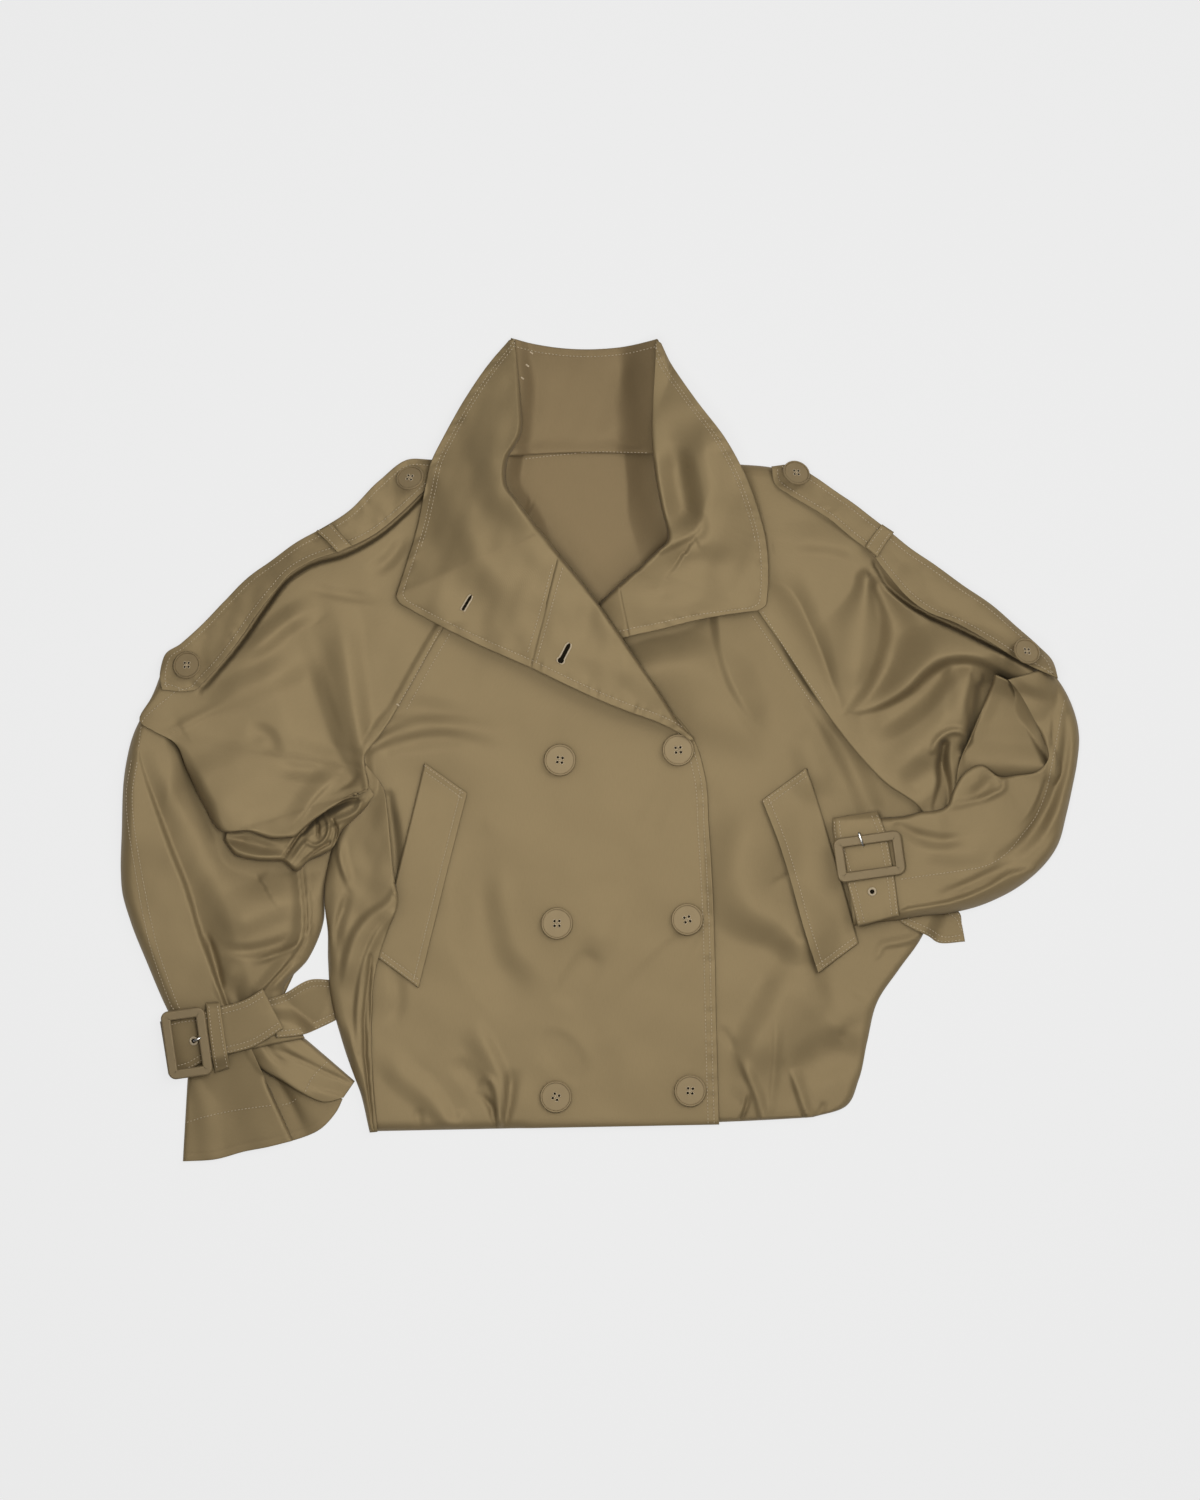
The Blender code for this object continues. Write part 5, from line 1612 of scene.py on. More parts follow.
@dataclass
class Wardrobe:
    """The finishes, each made once."""

    shell: Material
    inside: Material
    thread: Material
    button: Material
    buckle: Material
    metal: Material
    slit: Material

    @classmethod
    def made(cls) -> "Wardrobe":
        """Makes every finish of the coat.

        Returns:
            The finishes.
        """
        return cls(
            shell=Twill("shell_twill", (0.222, 0.164, 0.084)).material(),
            # The inner side: a darker copy of the shell twill, darkened as painted shade of the deep neck
            # and collar.
            inside=Twill("inside_twill_painted_shade", (0.180, 0.128, 0.066)).material(),
            thread=Thread("thread", (0.600, 0.490, 0.330)).material(),
            button=Resin("button_resin", (0.262, 0.193, 0.103)).material(),
            buckle=Resin("buckle_resin", (0.190, 0.140, 0.075), 0.52).material(),
            metal=Plated("plated_metal", (0.80, 0.78, 0.74)).material(),
            # Painted shade: a near-black finish for the slits of buttonholes and the holes of buttons and
            # eyelets, standing in for the shade inside them.
            slit=Resin("buttonhole_painted_shade", (0.010, 0.008, 0.005), 0.9, 0.1, 0.1).material(),
        )


@dataclass
class Coat:
    """The coat as it is laid down: the pile, the pieces so far and their finishes."""

    pile: Pile
    finishes: Wardrobe
    panels: dict[str, Panel] = field(default_factory=dict)

    ABOVE = 0.2

    def lay(self, panel: Panel, inside: bool = False, beneath: Pile | None = None) -> None:
        """Lays one cloth panel on the pile.

        Args:
            panel: The panel.
            inside: Whether it shows the coat's inner side, in the darker inside finish, whose darkness is
                painted shade.
            beneath: What it rests on, if that leaves out a panel that it is sewn to edge to edge.
        """
        made = panel.build(self.pile, beneath or self.pile)
        made.data.materials.append(self.finishes.inside if inside else self.finishes.shell)
        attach(made, BODY)
        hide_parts(*panel.nodes)
        self.panels[panel.name] = panel

    def add(self, made: Piece, finish: Material, slot: str, *nodes: str) -> None:
        """Takes in a piece that isn't a sheet of cloth.

        Args:
            made: The piece.
            finish: Its material.
            slot: Not used.
            nodes: The solids that it stands for.
        """
        made.data.materials.append(finish)
        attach(made, BODY)
        if nodes:
            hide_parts(*nodes)
        LOG.info("%s: %d faces", made.name, len(made.data.polygons))

    def surface(self, x: float, y: float, names: Sequence[str]) -> tuple[Vector, Vector]:
        """Finds the top of some panels at a place.

        Args:
            x, y: The place.
            names: The panels to look at.

        Returns:
            The highest point and its normal, or the floor.
        """
        best, way = Vector((x, y, 0)), Vector((0, 0, 1))
        for name in names:
            above = Vector((x, y, self.ABOVE))
            hit, normal, _, _ = self.panels[name].tree.ray_cast(above, Vector((0, 0, -1)))
            if hit is not None and hit.z > best.z:
                best, way = hit, normal if normal.z > 0 else -normal
        return best, way


def object_of(name: str, points: Sequence, faces: Sequence, smooth: bool = True) -> Piece:
    """A mesh object in the scene.

    Args:
        name: Its name.
        points: Its points.
        faces: Its faces, as rows of point numbers.
        smooth: Whether it is shaded smooth.

    Returns:
        The object.
    """
    mesh = bpy.data.meshes.new(name)
    mesh.from_pydata([tuple(map(float, point)) for point in points], [], list(faces))
    if smooth:
        mesh.shade_smooth()
    return linked(name, mesh)


def fan(name: str, points: Sequence) -> Piece:
    """A closed fan of triangles round its first point."""
    count = len(points) - 1
    return object_of(name, points, [(0, 1 + k, 1 + (k + 1) % count) for k in range(count)])


@dataclass
class Stitching:
    """Rows of lockstitch, gathered into one piece.

    Attributes:
        coat: The coat that they hold together.
        name: The piece's name.
        pitch: From one stitch to the next.
        length: The thread that shows of each.
        radius: The thread's radius.
    """

    coat: Coat
    name: str
    pitch: float = 3.1 * MM
    length: float = 2.1 * MM
    radius: float = 0.32 * MM
    points: list[Vector] = field(default_factory=list)
    faces: list[tuple[int, ...]] = field(default_factory=list)

    SIDES = 6
    BENDS = (0.22, 0.78)
    RISE = 0.55
    DIP = 0.9
    BAR = 0.9 * MM
    BAR_PITCH = 0.45 * MM

    def one(self, start: Vector, end: Vector, up: Vector, radius: float = 0) -> None:
        """Adds one stitch, a short length of thread that dips at both ends.

        Args:
            start: Where it comes out of the cloth.
            end: Where it goes in again.
            up: The cloth's normal.
            radius: The thread's radius, if it isn't the usual one.
        """
        radius = radius or self.radius
        run = end - start
        if run.length < 1e-5:
            return
        way = run.normalized()
        side = way.cross(up).normalized()
        top = side.cross(way)
        base = len(self.points)
        self.points.append(start - top * radius * self.DIP)
        for share in self.BENDS:
            middle = start + run * share + top * radius * self.RISE
            self.points += [middle + (side * c + top * s) * radius for c, s in circle(self.SIDES)]
        self.points.append(end - top * radius * self.DIP)
        last = base + 1 + 2 * self.SIDES
        for k in range(self.SIDES):
            a, b = base + 1 + k, base + 1 + (k + 1) % self.SIDES
            self.faces.append((base, b, a))
            self.faces.append((a, b, b + self.SIDES, a + self.SIDES))
            self.faces.append((last, a + self.SIDES, b + self.SIDES))

    def along(self, names: Sequence[str] | str, line: Points) -> None:
        """Adds a row of stitches on top of some panels.

        Args:
            names: The panel or panels that it is sewn through.
            line: Its points' x and y.
        """
        names = [names] if isinstance(names, str) else names
        steps = np.linalg.norm(np.diff(line, axis=0), axis=1)
        line = line[np.concatenate([[True], steps > 1e-7])]
        run = walked(line)
        for k in range(int(run[-1] / self.pitch)):
            ends = []
            for at in (k * self.pitch, k * self.pitch + self.length):
                ends.append(self.coat.surface(*between(at, run, line), names))
            (start, up), (end, _) = ends
            if abs(start.z - end.z) < self.length:
                self.one(start, end, up)

    def drawn(self, names: Sequence[str] | str, *spots: Spot) -> None:
        """Adds a row of stitches through places of the layout, on a smooth curve.

        Args:
            names: The panel or panels that it is sewn through.
            spots: The places.
        """
        self.along(names, smooth_line(spots))

    def inside(self, name: str, edge: str, offset: float, start: float = 0, end: float = 1) -> None:
        """Adds a row at an even distance from a panel's edge.

        Args:
            name: The panel.
            edge: Its edge.
            offset: The distance.
            start: Where it starts, as a share of the edge.
            end: Where it ends, as a share of the edge.
        """
        line = self.coat.panels[name].line_in(edge, offset)
        first, last = int(start * (len(line) - 1)), int(end * (len(line) - 1))
        self.along(name, line[first : last + 1])

    def tack(self, name: str, start: Spot, end: Spot) -> None:
        """Adds a bar tack, a short close zigzag.

        Args:
            name: The panel that it is sewn through.
            start: The bar's start, on the layout.
            end: The bar's end, on the layout.
        """
        ends = [np.array(Plan.place(*spot)) for spot in (start, end)]
        run = ends[1] - ends[0]
        length = float(np.linalg.norm(run))
        side = np.array([-run[1], run[0]]) / length * self.BAR
        count = max(3, int(length / self.BAR_PITCH))
        for k in range(count):
            middle = ends[0] + run * (k + 0.5) / count
            bar = [self.coat.surface(*(middle + side * way), [name]) for way in (-1, 1)]
            self.one(bar[0][0], bar[1][0], bar[0][1])

    def build(self) -> None:
        """Makes the piece."""
        made = object_of(self.name, self.points, self.faces)
        self.coat.add(made, self.coat.finishes.thread, "shell_cloth")


def walked(line: Points) -> Points:
    """How far each point of a line is along it."""
    return np.concatenate([[0], np.cumsum(np.linalg.norm(np.diff(line, axis=0), axis=1))])


def between(at: float, run: Points, line: Points) -> Spot:
    """The place at a distance along a line, whose points lie at the distances of run."""
    return tuple(float(np.interp(at, run, line[:, axis])) for axis in (0, 1))


def smooth_line(spots: Sequence[Spot], parts: int = 12) -> Points:
    """A smooth curve through places of the layout.

    Args:
        spots: The places.
        parts: How many pieces each stretch is cut into.

    Returns:
        The curve's points' x and y.
    """
    table = np.array(spots, float)
    if len(table) > 2:
        ends = np.vstack([2 * table[0] - table[1], table, 2 * table[-1] - table[-2]])
        t = np.linspace(0, 1, parts, endpoint=False)[:, None]
        pieces = []
        for k in range(len(table) - 1):
            p0, p1, p2, p3 = ends[k : k + 4]
            pieces.append(0.5 * (2 * p1 + (p2 - p0) * t + (2 * p0 - 5 * p1 + 4 * p2 - p3) * t**2
                                 + (3 * p1 - p0 - 3 * p2 + p3) * t**3))
        table = np.vstack([*pieces, table[-1:]])
    return np.stack(Plan.place(table[:, 0], table[:, 1]), -1)


@dataclass
class LeftFront:
    """The wearer's left front, on the back and the back of the collar."""

    hem_roll: float = 9 * MM

    def lay(self, coat: Coat) -> None:
        """Lays the back, the left front and its pocket welt.

        Args:
            coat: The coat.
        """
        coat.lay(Panel("Back", BACK, folds=NECK_FOLDS, step=0.0036), inside=True)
        coat.lay(Panel("Collar_back", COLLAR_BACK, Edge.TURNED.at("first"), FACED,
                       folds=COLLAR_BACK_FOLDS, pucker=0.10, closed=("last",)), inside=True)
        coat.lay(Panel("Sleeve_right_under", RIGHT_SLEEVE_UNDER, step=0.0045))
        coat.lay(Panel("Cuff_right_under", RIGHT_CUFF_UNDER))
        coat.lay(Panel("Front_left", LEFT_FRONT, Edge.ROLLED.at("b", "last"), folds=LEFT_BODY_FOLDS,
                       roll=self.hem_roll, seam_rows=6, step=0.0025, closed=("first",)))
        coat.lay(Panel("Welt_left", LEFT_WELT, Edge.TURNED.at("a", "first", "last"), FACED,
                       reach=0.006, step=0.002))


@dataclass
class LeftSleeve:
    """The wearer's left sleeve, folded back across the front, with its cuff strap."""

    roll: float = 12 * MM
    fore_roll: float = 10 * MM

    def lay(self, coat: Coat) -> None:
        """Lays the strap's tail, the sleeve's layers and the strap on them.

        Args:
            coat: The coat.
        """
        coat.lay(Panel("Strap_left_tail", LEFT_STRAP_TAIL, Edge.TURNED.at("a", "b", "last"), DOUBLED,
                       step=0.002))
        coat.lay(Panel("Sleeve_left_under", LEFT_SLEEVE_UNDER, reach=0.012, step=0.0045))
        coat.lay(Panel("Sleeve_left", LEFT_SLEEVE_UPPER, Edge.ROLLED.at("a"), folds=LEFT_BODY_FOLDS,
                       roll=self.roll, held="folded", step=0.0020, closed=("b", "first")))
        coat.lay(Panel("Sleeve_left_elbow", LEFT_SLEEVE_ELBOW, Edge.ROLLED.at("a"),
                       folds=LEFT_ELBOW_FOLDS, roll=3 * MM, held="folded", reach=0.003, step=0.0016,
                       nodes=("sleeve_left",)))
        coat.lay(Panel("Sleeve_left_fore", LEFT_SLEEVE_LOWER, Edge.ROLLED.at("a", "b"),
                       folds=LEFT_FORE_FOLDS, roll=self.fore_roll, held="folded", step=0.0022,
                       rolls={"b": ((0, 0.4), (12, 0.3), (16, 0.4))}))
        coat.lay(Panel("Strap_left", LEFT_STRAP, Edge.TURNED.at("a", "b", "first"), DOUBLED,
                       reach=0.008, step=0.002))


@dataclass
class RightSleeve:
    """The wearer's right sleeve below the elbow, with its cuff."""

    roll: float = 12 * MM
    cuff_roll: float = 3 * MM

    def lay(self, coat: Coat) -> None:
        """Lays the cuff, the forearm and the strap's tail.

        Args:
            coat: The coat.
        """
        nodes = ("cuff_right",)
        coat.lay(Panel("Cuff_right_pleat", RIGHT_CUFF_PLEAT, Edge.TURNED.at("b"),
                       folds=RIGHT_PLEAT_FOLDS, step=0.002, nodes=nodes))
        coat.lay(Panel("Cuff_right_back", RIGHT_CUFF_BACK, Edge.ROLLED.at("a", "b") | Edge.TURNED.at("last"),
                       folds=RIGHT_PLEAT_FOLDS, roll=self.cuff_roll, step=0.002, nodes=nodes))
        coat.lay(Panel("Cuff_right", RIGHT_CUFF, Edge.ROLLED.at("first", "last") | Edge.TURNED.at("b"),
                       folds=RIGHT_FORE_FOLDS, roll=self.cuff_roll, step=0.002))
        coat.lay(Panel("Sleeve_right_fore", RIGHT_SLEEVE_LOWER, Edge.ROLLED.at("a", "b"),
                       folds=RIGHT_FORE_FOLDS, roll=self.roll, held="folded",
                       rolls={"a": ((0, 0.3), (2, 1.0))}))
        coat.lay(Panel("Strap_right_tail", RIGHT_STRAP_TAIL, Edge.TURNED.at("a", "b"), DOUBLED, step=0.002))


@dataclass
class RightFront:
    """The wearer's right front, which laps over the left, and the sleeve sewn to it."""

    hem_roll: float = 9 * MM
    sleeve_roll: float = 10 * MM

    def lay(self, coat: Coat) -> None:
        """Lays the front, its welt, the side, the folded sleeve and the cuff strap.

        Args:
            coat: The coat.
        """
        front = Edge.TUCKED.at("a") | Edge.TURNED.at("b") | Edge.ROLLED.at("last")
        coat.lay(Panel("Front_right", RIGHT_FRONT, front, folds=RIGHT_BODY_FOLDS, roll=self.hem_roll,
                       pucker=0.4, step=0.0025))
        coat.lay(Panel("Welt_right", RIGHT_WELT, Edge.TURNED.at("b", "first", "last"), FACED,
                       reach=0.006, step=0.002))
        coat.lay(Panel("Side_right", RIGHT_SIDE, Edge.ROLLED.at("a"), folds=RIGHT_SIDE_FOLDS,
                       held="folded", step=0.0022))
        coat.lay(Panel("Sleeve_right_fold", RIGHT_SLEEVE_FOLD, Edge.ROLLED.at("a", "b"),
                       folds=RIGHT_HEAP_FOLDS, roll=6 * MM, held="folded", step=0.0014))
        outer = ((5, 1), (6, 0.3), (8, 0.3), (10, 1.3), (11, 1.3), (12, 0.5), (15, 0.4))
        coat.lay(Panel("Sleeve_right", RIGHT_SLEEVE_UPPER, Edge.ROLLED.at("a", "last"),
                       folds=RIGHT_BODY_FOLDS, roll=self.sleeve_roll, held="folded", step=0.0023,
                       rolls={"a": outer, "last": ((0, 0.4),)}))
        coat.lay(Panel("Strap_right", RIGHT_STRAP, Edge.TURNED.at("a", "b"), DOUBLED, reach=0.016,
                       step=0.002))
        coat.lay(Panel("Keeper_right", RIGHT_KEEPER, Edge.TURNED.at("a", "b"), DOUBLED, step=0.002))


@dataclass
class Epaulettes:
    """The buttoned shoulder straps and their loops."""

    slack: FoldField = FoldField(slack=0.9, slack_size=42)

    def lay(self, coat: Coat) -> None:
        """Lays both straps and both loops.

        Args:
            coat: The coat.
        """
        for side, straps, loops in (
            ("right", RIGHT_EPAULETTE, RIGHT_EPAULETTE_LOOP),
            ("left", LEFT_EPAULETTE, LEFT_EPAULETTE_LOOP),
        ):
            coat.lay(Panel(f"Epaulette_{side}", straps, Edge.TURNED.at("a", "b", "last", "first"),
                           FACED, reach=0.006, step=0.0022, pucker=0.3, folds=self.slack))
            coat.lay(Panel(f"Epaulette_loop_{side}", loops, Edge.TURNED.at("a", "b"), DOUBLED, step=0.002))


@dataclass
class Collar:
    """The tall collar, opened out into two wings, and the lapels below them."""

    roll: float = 4 * MM
    pucker: float = 0.5

    def lay(self, coat: Coat) -> None:
        """Lays the left wing and lapel, then the right, which covers them.

        Args:
            coat: The coat.
        """
        wings = Edge.TURNED.at("a") | Edge.ROLLED.at("b")
        for side, wing, fall, folds, levels in (
            ("left", LEFT_COLLAR, LEFT_LAPEL, LEFT_COLLAR_FOLDS, (0.3, 1.6)),
            ("right", RIGHT_COLLAR, RIGHT_LAPEL, RIGHT_COLLAR_FOLDS, (0.8, 0.3)),
        ):
            beneath = coat.pile.kept()
            coat.lay(Panel(f"Lapel_{side}", fall, wings | Edge.TUCKED.at("first"), FACED,
                           folds=folds, roll=self.roll, pucker=self.pucker, levels=levels))
            coat.lay(Panel(f"Collar_{side}", wing, wings, FACED, folds=folds, roll=self.roll,
                           pucker=self.pucker, levels=levels, corners=(8, 9)), beneath=beneath)


@dataclass
class Button:
    """A four-hole button with a raised rim, sewn on with crossed thread.

    Attributes:
        name: The piece's name.
        node: The solid that it stands for.
        diameter: Across the button.
        spot: Its place on the layout.
        turn: How far it is turned, in degrees.
        lean: How far it leans towards the shoulder's outside, in degrees.
        about: The direction of the line that it leans about, in degrees.
        height: Its height.
        well: The sunk middle's radius, as a share of the button's.
    """

    name: str
    node: str
    diameter: float
    spot: Spot
    turn: float = 45.0
    lean: float = 0.0
    about: float = 0.0
    height: float = 3.2 * MM
    well: float = 0.84

    SEGMENTS = 56
    HOLE_SEGMENTS = 16
    FLOOR = 0.80
    HOLE = 0.075
    HOLE_OUT = 0.21
    SHANK = 2 * MM

    def body(self) -> bmesh.types.BMesh:
        """Turns the rim and fills the sunk middle, with its four holes.

        Returns:
            The shape, face up at the origin.
        """
        r, h = self.diameter / 2, self.height
        inner, floor = r * self.well, h * self.FLOOR
        profile = [(inner, floor), (inner + r * 0.006, h * 0.58), (inner + r * 0.03, h * 0.58),
                   (r * 0.88, h * 0.90), (r * 0.90, h), (r * 0.955, h), (r * 0.985, h * 0.88),
                   (r, h * 0.66), (r * 0.99, h * 0.46), (r * 0.93, h * 0.24), (r * 0.80, h * 0.06),
                   (r * 0.70, 0.0)]
        shape = bmesh.new()
        rings = [[shape.verts.new((x, y, height)) for x, y in circle(self.SEGMENTS, radius)]
                 for radius, height in profile]
        for one, two in zip(rings, rings[1:]):
            self.joined(shape, one, two)
        shape.faces.new(rings[-1][::-1])
        loops = [rings[0]]
        for cx, cy in circle(4, r * self.HOLE_OUT):
            hole = circle(self.HOLE_SEGMENTS, r * self.HOLE)
            loop = [shape.verts.new((cx + x, cy + y, floor)) for x, y in hole]
            bottom = [shape.verts.new((v.co.x, v.co.y, h * 0.15)) for v in loop]
            self.joined(shape, loop, bottom)
            shape.faces.new(bottom)
            loops.append(loop)
        edges = [shape.edges.get(pair) or shape.edges.new(pair)
                 for loop in loops for pair in zip(loop, loop[1:] + loop[:1])]
        bmesh.ops.triangle_fill(shape, edges=edges, use_beauty=True, normal=(0, 0, 1))
        bmesh.ops.recalc_face_normals(shape, faces=shape.faces)
        return shape

    @staticmethod
    def joined(shape: bmesh.types.BMesh, one: Sequence, two: Sequence) -> None:
        """Joins two rings of as many points with faces."""
        for k in range(len(one)):
            shape.faces.new((one[k - 1], two[k - 1], two[k], one[k]))

    def build(self, coat: Coat) -> None:
        """Makes the button and its thread, and sets them on what lies at the spot.

        Args:
            coat: The coat.
        """
        r = self.diameter / 2
        x, y = (float(value) for value in Plan.place(*self.spot))
        base = coat.pile.crown(x, y, r * 0.8) + 0.2 * MM
        mesh = bpy.data.meshes.new(self.name)
        shape = self.body()
        shape.to_mesh(mesh)
        shape.free()
        mesh.shade_smooth()
        mesh.set_sharp_from_angle(angle=math.radians(35))
        made = linked(self.name, mesh)
        lean, about = math.radians(self.lean), math.radians(self.about)
        axis = Vector((math.cos(about), math.sin(about), 0))
        pose = (Matrix.Translation((x, y, base + r * 0.55 * math.sin(lean)))
                @ Matrix.Rotation(-lean, 4, axis) @ Matrix.Rotation(math.radians(self.turn), 4, "Z"))
        made.matrix_world = pose
        coat.add(made, coat.finishes.button, "button", self.node)
        stem = base - coat.pile.crown(x, y, 1 * MM) + r * 0.55 * math.tan(lean)
        coat.pile.lay_disc(x, y, r, base + self.height)
        self.sew(coat, pose, stem)

    def sew(self, coat: Coat, pose: Matrix, stem: float) -> None:
        """Works thread round each hole, a dark disc of painted shade, a cross between them and the shank
        below.

        Args:
            coat: The coat.
            pose: Where the button lies.
            stem: How far the cloth is below the button.
        """
        r, up = self.diameter / 2, Vector((0, 0, 1))
        middle = up * self.height * self.FLOOR
        thread = Stitching(coat, self.name + "_thread")
        points, faces, count = [], [], 14
        for k, spoke in enumerate(circle(4)):
            out = Vector((*spoke, 0))
            hole = middle + out * r * self.HOLE_OUT
            for n, ray in enumerate(circle(count)):
                way = Vector((*ray, 0))
                points.append(hole + way * r * 0.072 + up * 0.05 * MM)
                if n % 2 == 0:
                    step = Vector((-way.y, way.x, 0)) * r * 0.05
                    rim = hole + way * r * 0.10
                    thread.one(rim - step, rim + step, up, 0.30 * MM)
            faces.append(tuple(range(k * count, (k + 1) * count)))
            thread.one(middle + out * r * 0.10, middle + up * 0.25 * MM, up, 0.28 * MM)
        self.shank(thread, stem)
        # The holes are dark discs of painted shade, in the slit finish.
        for made, finish in (
            (object_of(thread.name, thread.points, thread.faces), coat.finishes.thread),
            (object_of(self.name + "_holes", points, faces), coat.finishes.slit),
        ):
            made.matrix_world = pose
            coat.add(made, finish, "button")

    def shank(self, thread: Stitching, stem: float) -> None:
        """Winds the thread between button and cloth into a round shank.

        Args:
            thread: The button's thread.
            stem: The shank's length.
        """
        base, sides = len(thread.points), 10
        for height in (0.4 * MM, -stem - 0.4 * MM):
            thread.points += [Vector((*spot, height)) for spot in circle(sides, self.SHANK)]
        for n in range(sides):
            m = (n + 1) % sides
            thread.faces.append((base + n, base + sides + n, base + sides + m, base + m))
        thread.faces.append(tuple(range(base, base + sides)))
        thread.faces.append(tuple(range(base + 2 * sides - 1, base + sides - 1, -1)))


def rounded(width: float, height: float, corner: float, steps: int = 8) -> list[tuple]:
    """The outline of a box with rounded corners, with the outward direction at each point.

    Args:
        width: Along x.
        height: Along y.
        corner: The corners' radius.
        steps: How many steps turn each corner.

    Returns:
        Rows of x, y, outward x and outward y.
    """
    points = []
    for turn, (sx, sy) in enumerate([(1, 1), (-1, 1), (-1, -1), (1, -1)]):
        for step in range(steps + 1):
            angle = math.pi / 2 * (turn + step / steps)
            way = (math.cos(angle), math.sin(angle))
            points.append((sx * (width / 2 - corner) + corner * way[0],
                           sy * (height / 2 - corner) + corner * way[1], *way))
    return points


@dataclass
class Buttonhole:
    """A worked buttonhole: a slit of painted shade, its eye, and thread all round.

    Attributes:
        name: The piece's name.
        panel: The panel that it is cut in.
        start: The slit's start, on the layout.
        end: Its end with the eye, on the layout.
        width: The slit's width.
        eye: The eye's radius, or 0 for none.
    """

    name: str
    panel: str
    start: Spot
    end: Spot
    width: float = 3.3 * MM
    eye: float = 2.6 * MM

    LIFT = 0.32 * MM
    PITCH = 0.42 * MM

    def outline(self) -> list[Spot]:
        """The slit's outline, with the eye at its end.

        Returns:
            Places along and across the slit, from its start.
        """
        length = math.dist(Plan.place(*self.start), Plan.place(*self.end))
        half, narrow, neck = self.width / 2, length * 0.15, length - self.eye * 1.5
        turns = [math.radians(140 - 28 * k) for k in range(11)] if self.eye else []
        eye = [(length + self.eye * math.cos(turn), self.eye * math.sin(turn)) for turn in turns]
        return [(0.0, -half * 0.4), (0.0, half * 0.4), (narrow, half), (neck, half), *eye,
                (neck, -half), (narrow, -half)]

    def build(self, coat: Coat, thread: Stitching) -> None:
        """Makes the slit, a dark sheet of painted shade, and works the thread round it.

        Args:
            coat: The coat.
            thread: The stitches that it joins.
        """
        ends = [np.array(Plan.place(*spot)) for spot in (self.start, self.end)]
        way = (ends[1] - ends[0]) / np.linalg.norm(ends[1] - ends[0])
        side = np.array([-way[1], way[0]])
        rim = np.array([ends[0] + way * along + side * across for along, across in self.outline()])
        tops = [coat.surface(*spot, [self.panel]) for spot in (rim.mean(axis=0), *rim)]
        points = [top + normal * self.LIFT for top, normal in tops]
        # Painted shade: the slit is a near-black sheet lifted just over the cloth.
        coat.add(fan(self.name, points), coat.finishes.slit, "shell_cloth")
        closed = np.vstack([rim, rim[:1]])
        run = walked(closed)
        for at in np.arange(0, run[-1], self.PITCH):
            spot = np.array(between(at, run, closed))
            nearest = ends[0] + way * np.clip((spot - ends[0]) @ way, 0, 1)
            out = spot - nearest
            out = out / max(np.linalg.norm(out), 1e-6)
            (start, up), (end, _) = (coat.surface(*(spot + out * reach), [self.panel])
                                     for reach in (-0.1 * MM, 1.7 * MM))
            thread.one(start + up * 0.35 * MM, end + up * 0.1 * MM, up, 0.30 * MM)


@dataclass
class Eyelet:
    """A small thread-worked eyelet of a cuff strap."""

    name: str
    panel: str
    spot: Spot
    radius: float = 2.0 * MM
    rim: float = 4.2 * MM

    def build(self, coat: Coat, thread: Stitching) -> None:
        """Makes the hole, a dark disc of painted shade, and the spokes of thread round it.

        Args:
            coat: The coat.
            thread: The stitches that it joins.
        """
        x, y = (float(value) for value in Plan.place(*self.spot))
        top, up = coat.surface(x, y, [self.panel])
        side = up.orthogonal().normalized()
        other = up.cross(side)
        rays = [side * c + other * s for c, s in circle(22)]
        middle = top + up * 0.15 * MM
        # Painted shade: the hole is a near-black disc just over the strap.
        hole = fan(self.name, [middle, *(middle + ray * self.radius for ray in rays)])
        coat.add(hole, coat.finishes.slit, "shell_cloth")
        raised = top + up * 0.25 * MM
        for ray in rays:
            thread.one(raised + ray * self.radius * 0.85, raised + ray * self.rim, up, 0.5 * MM)


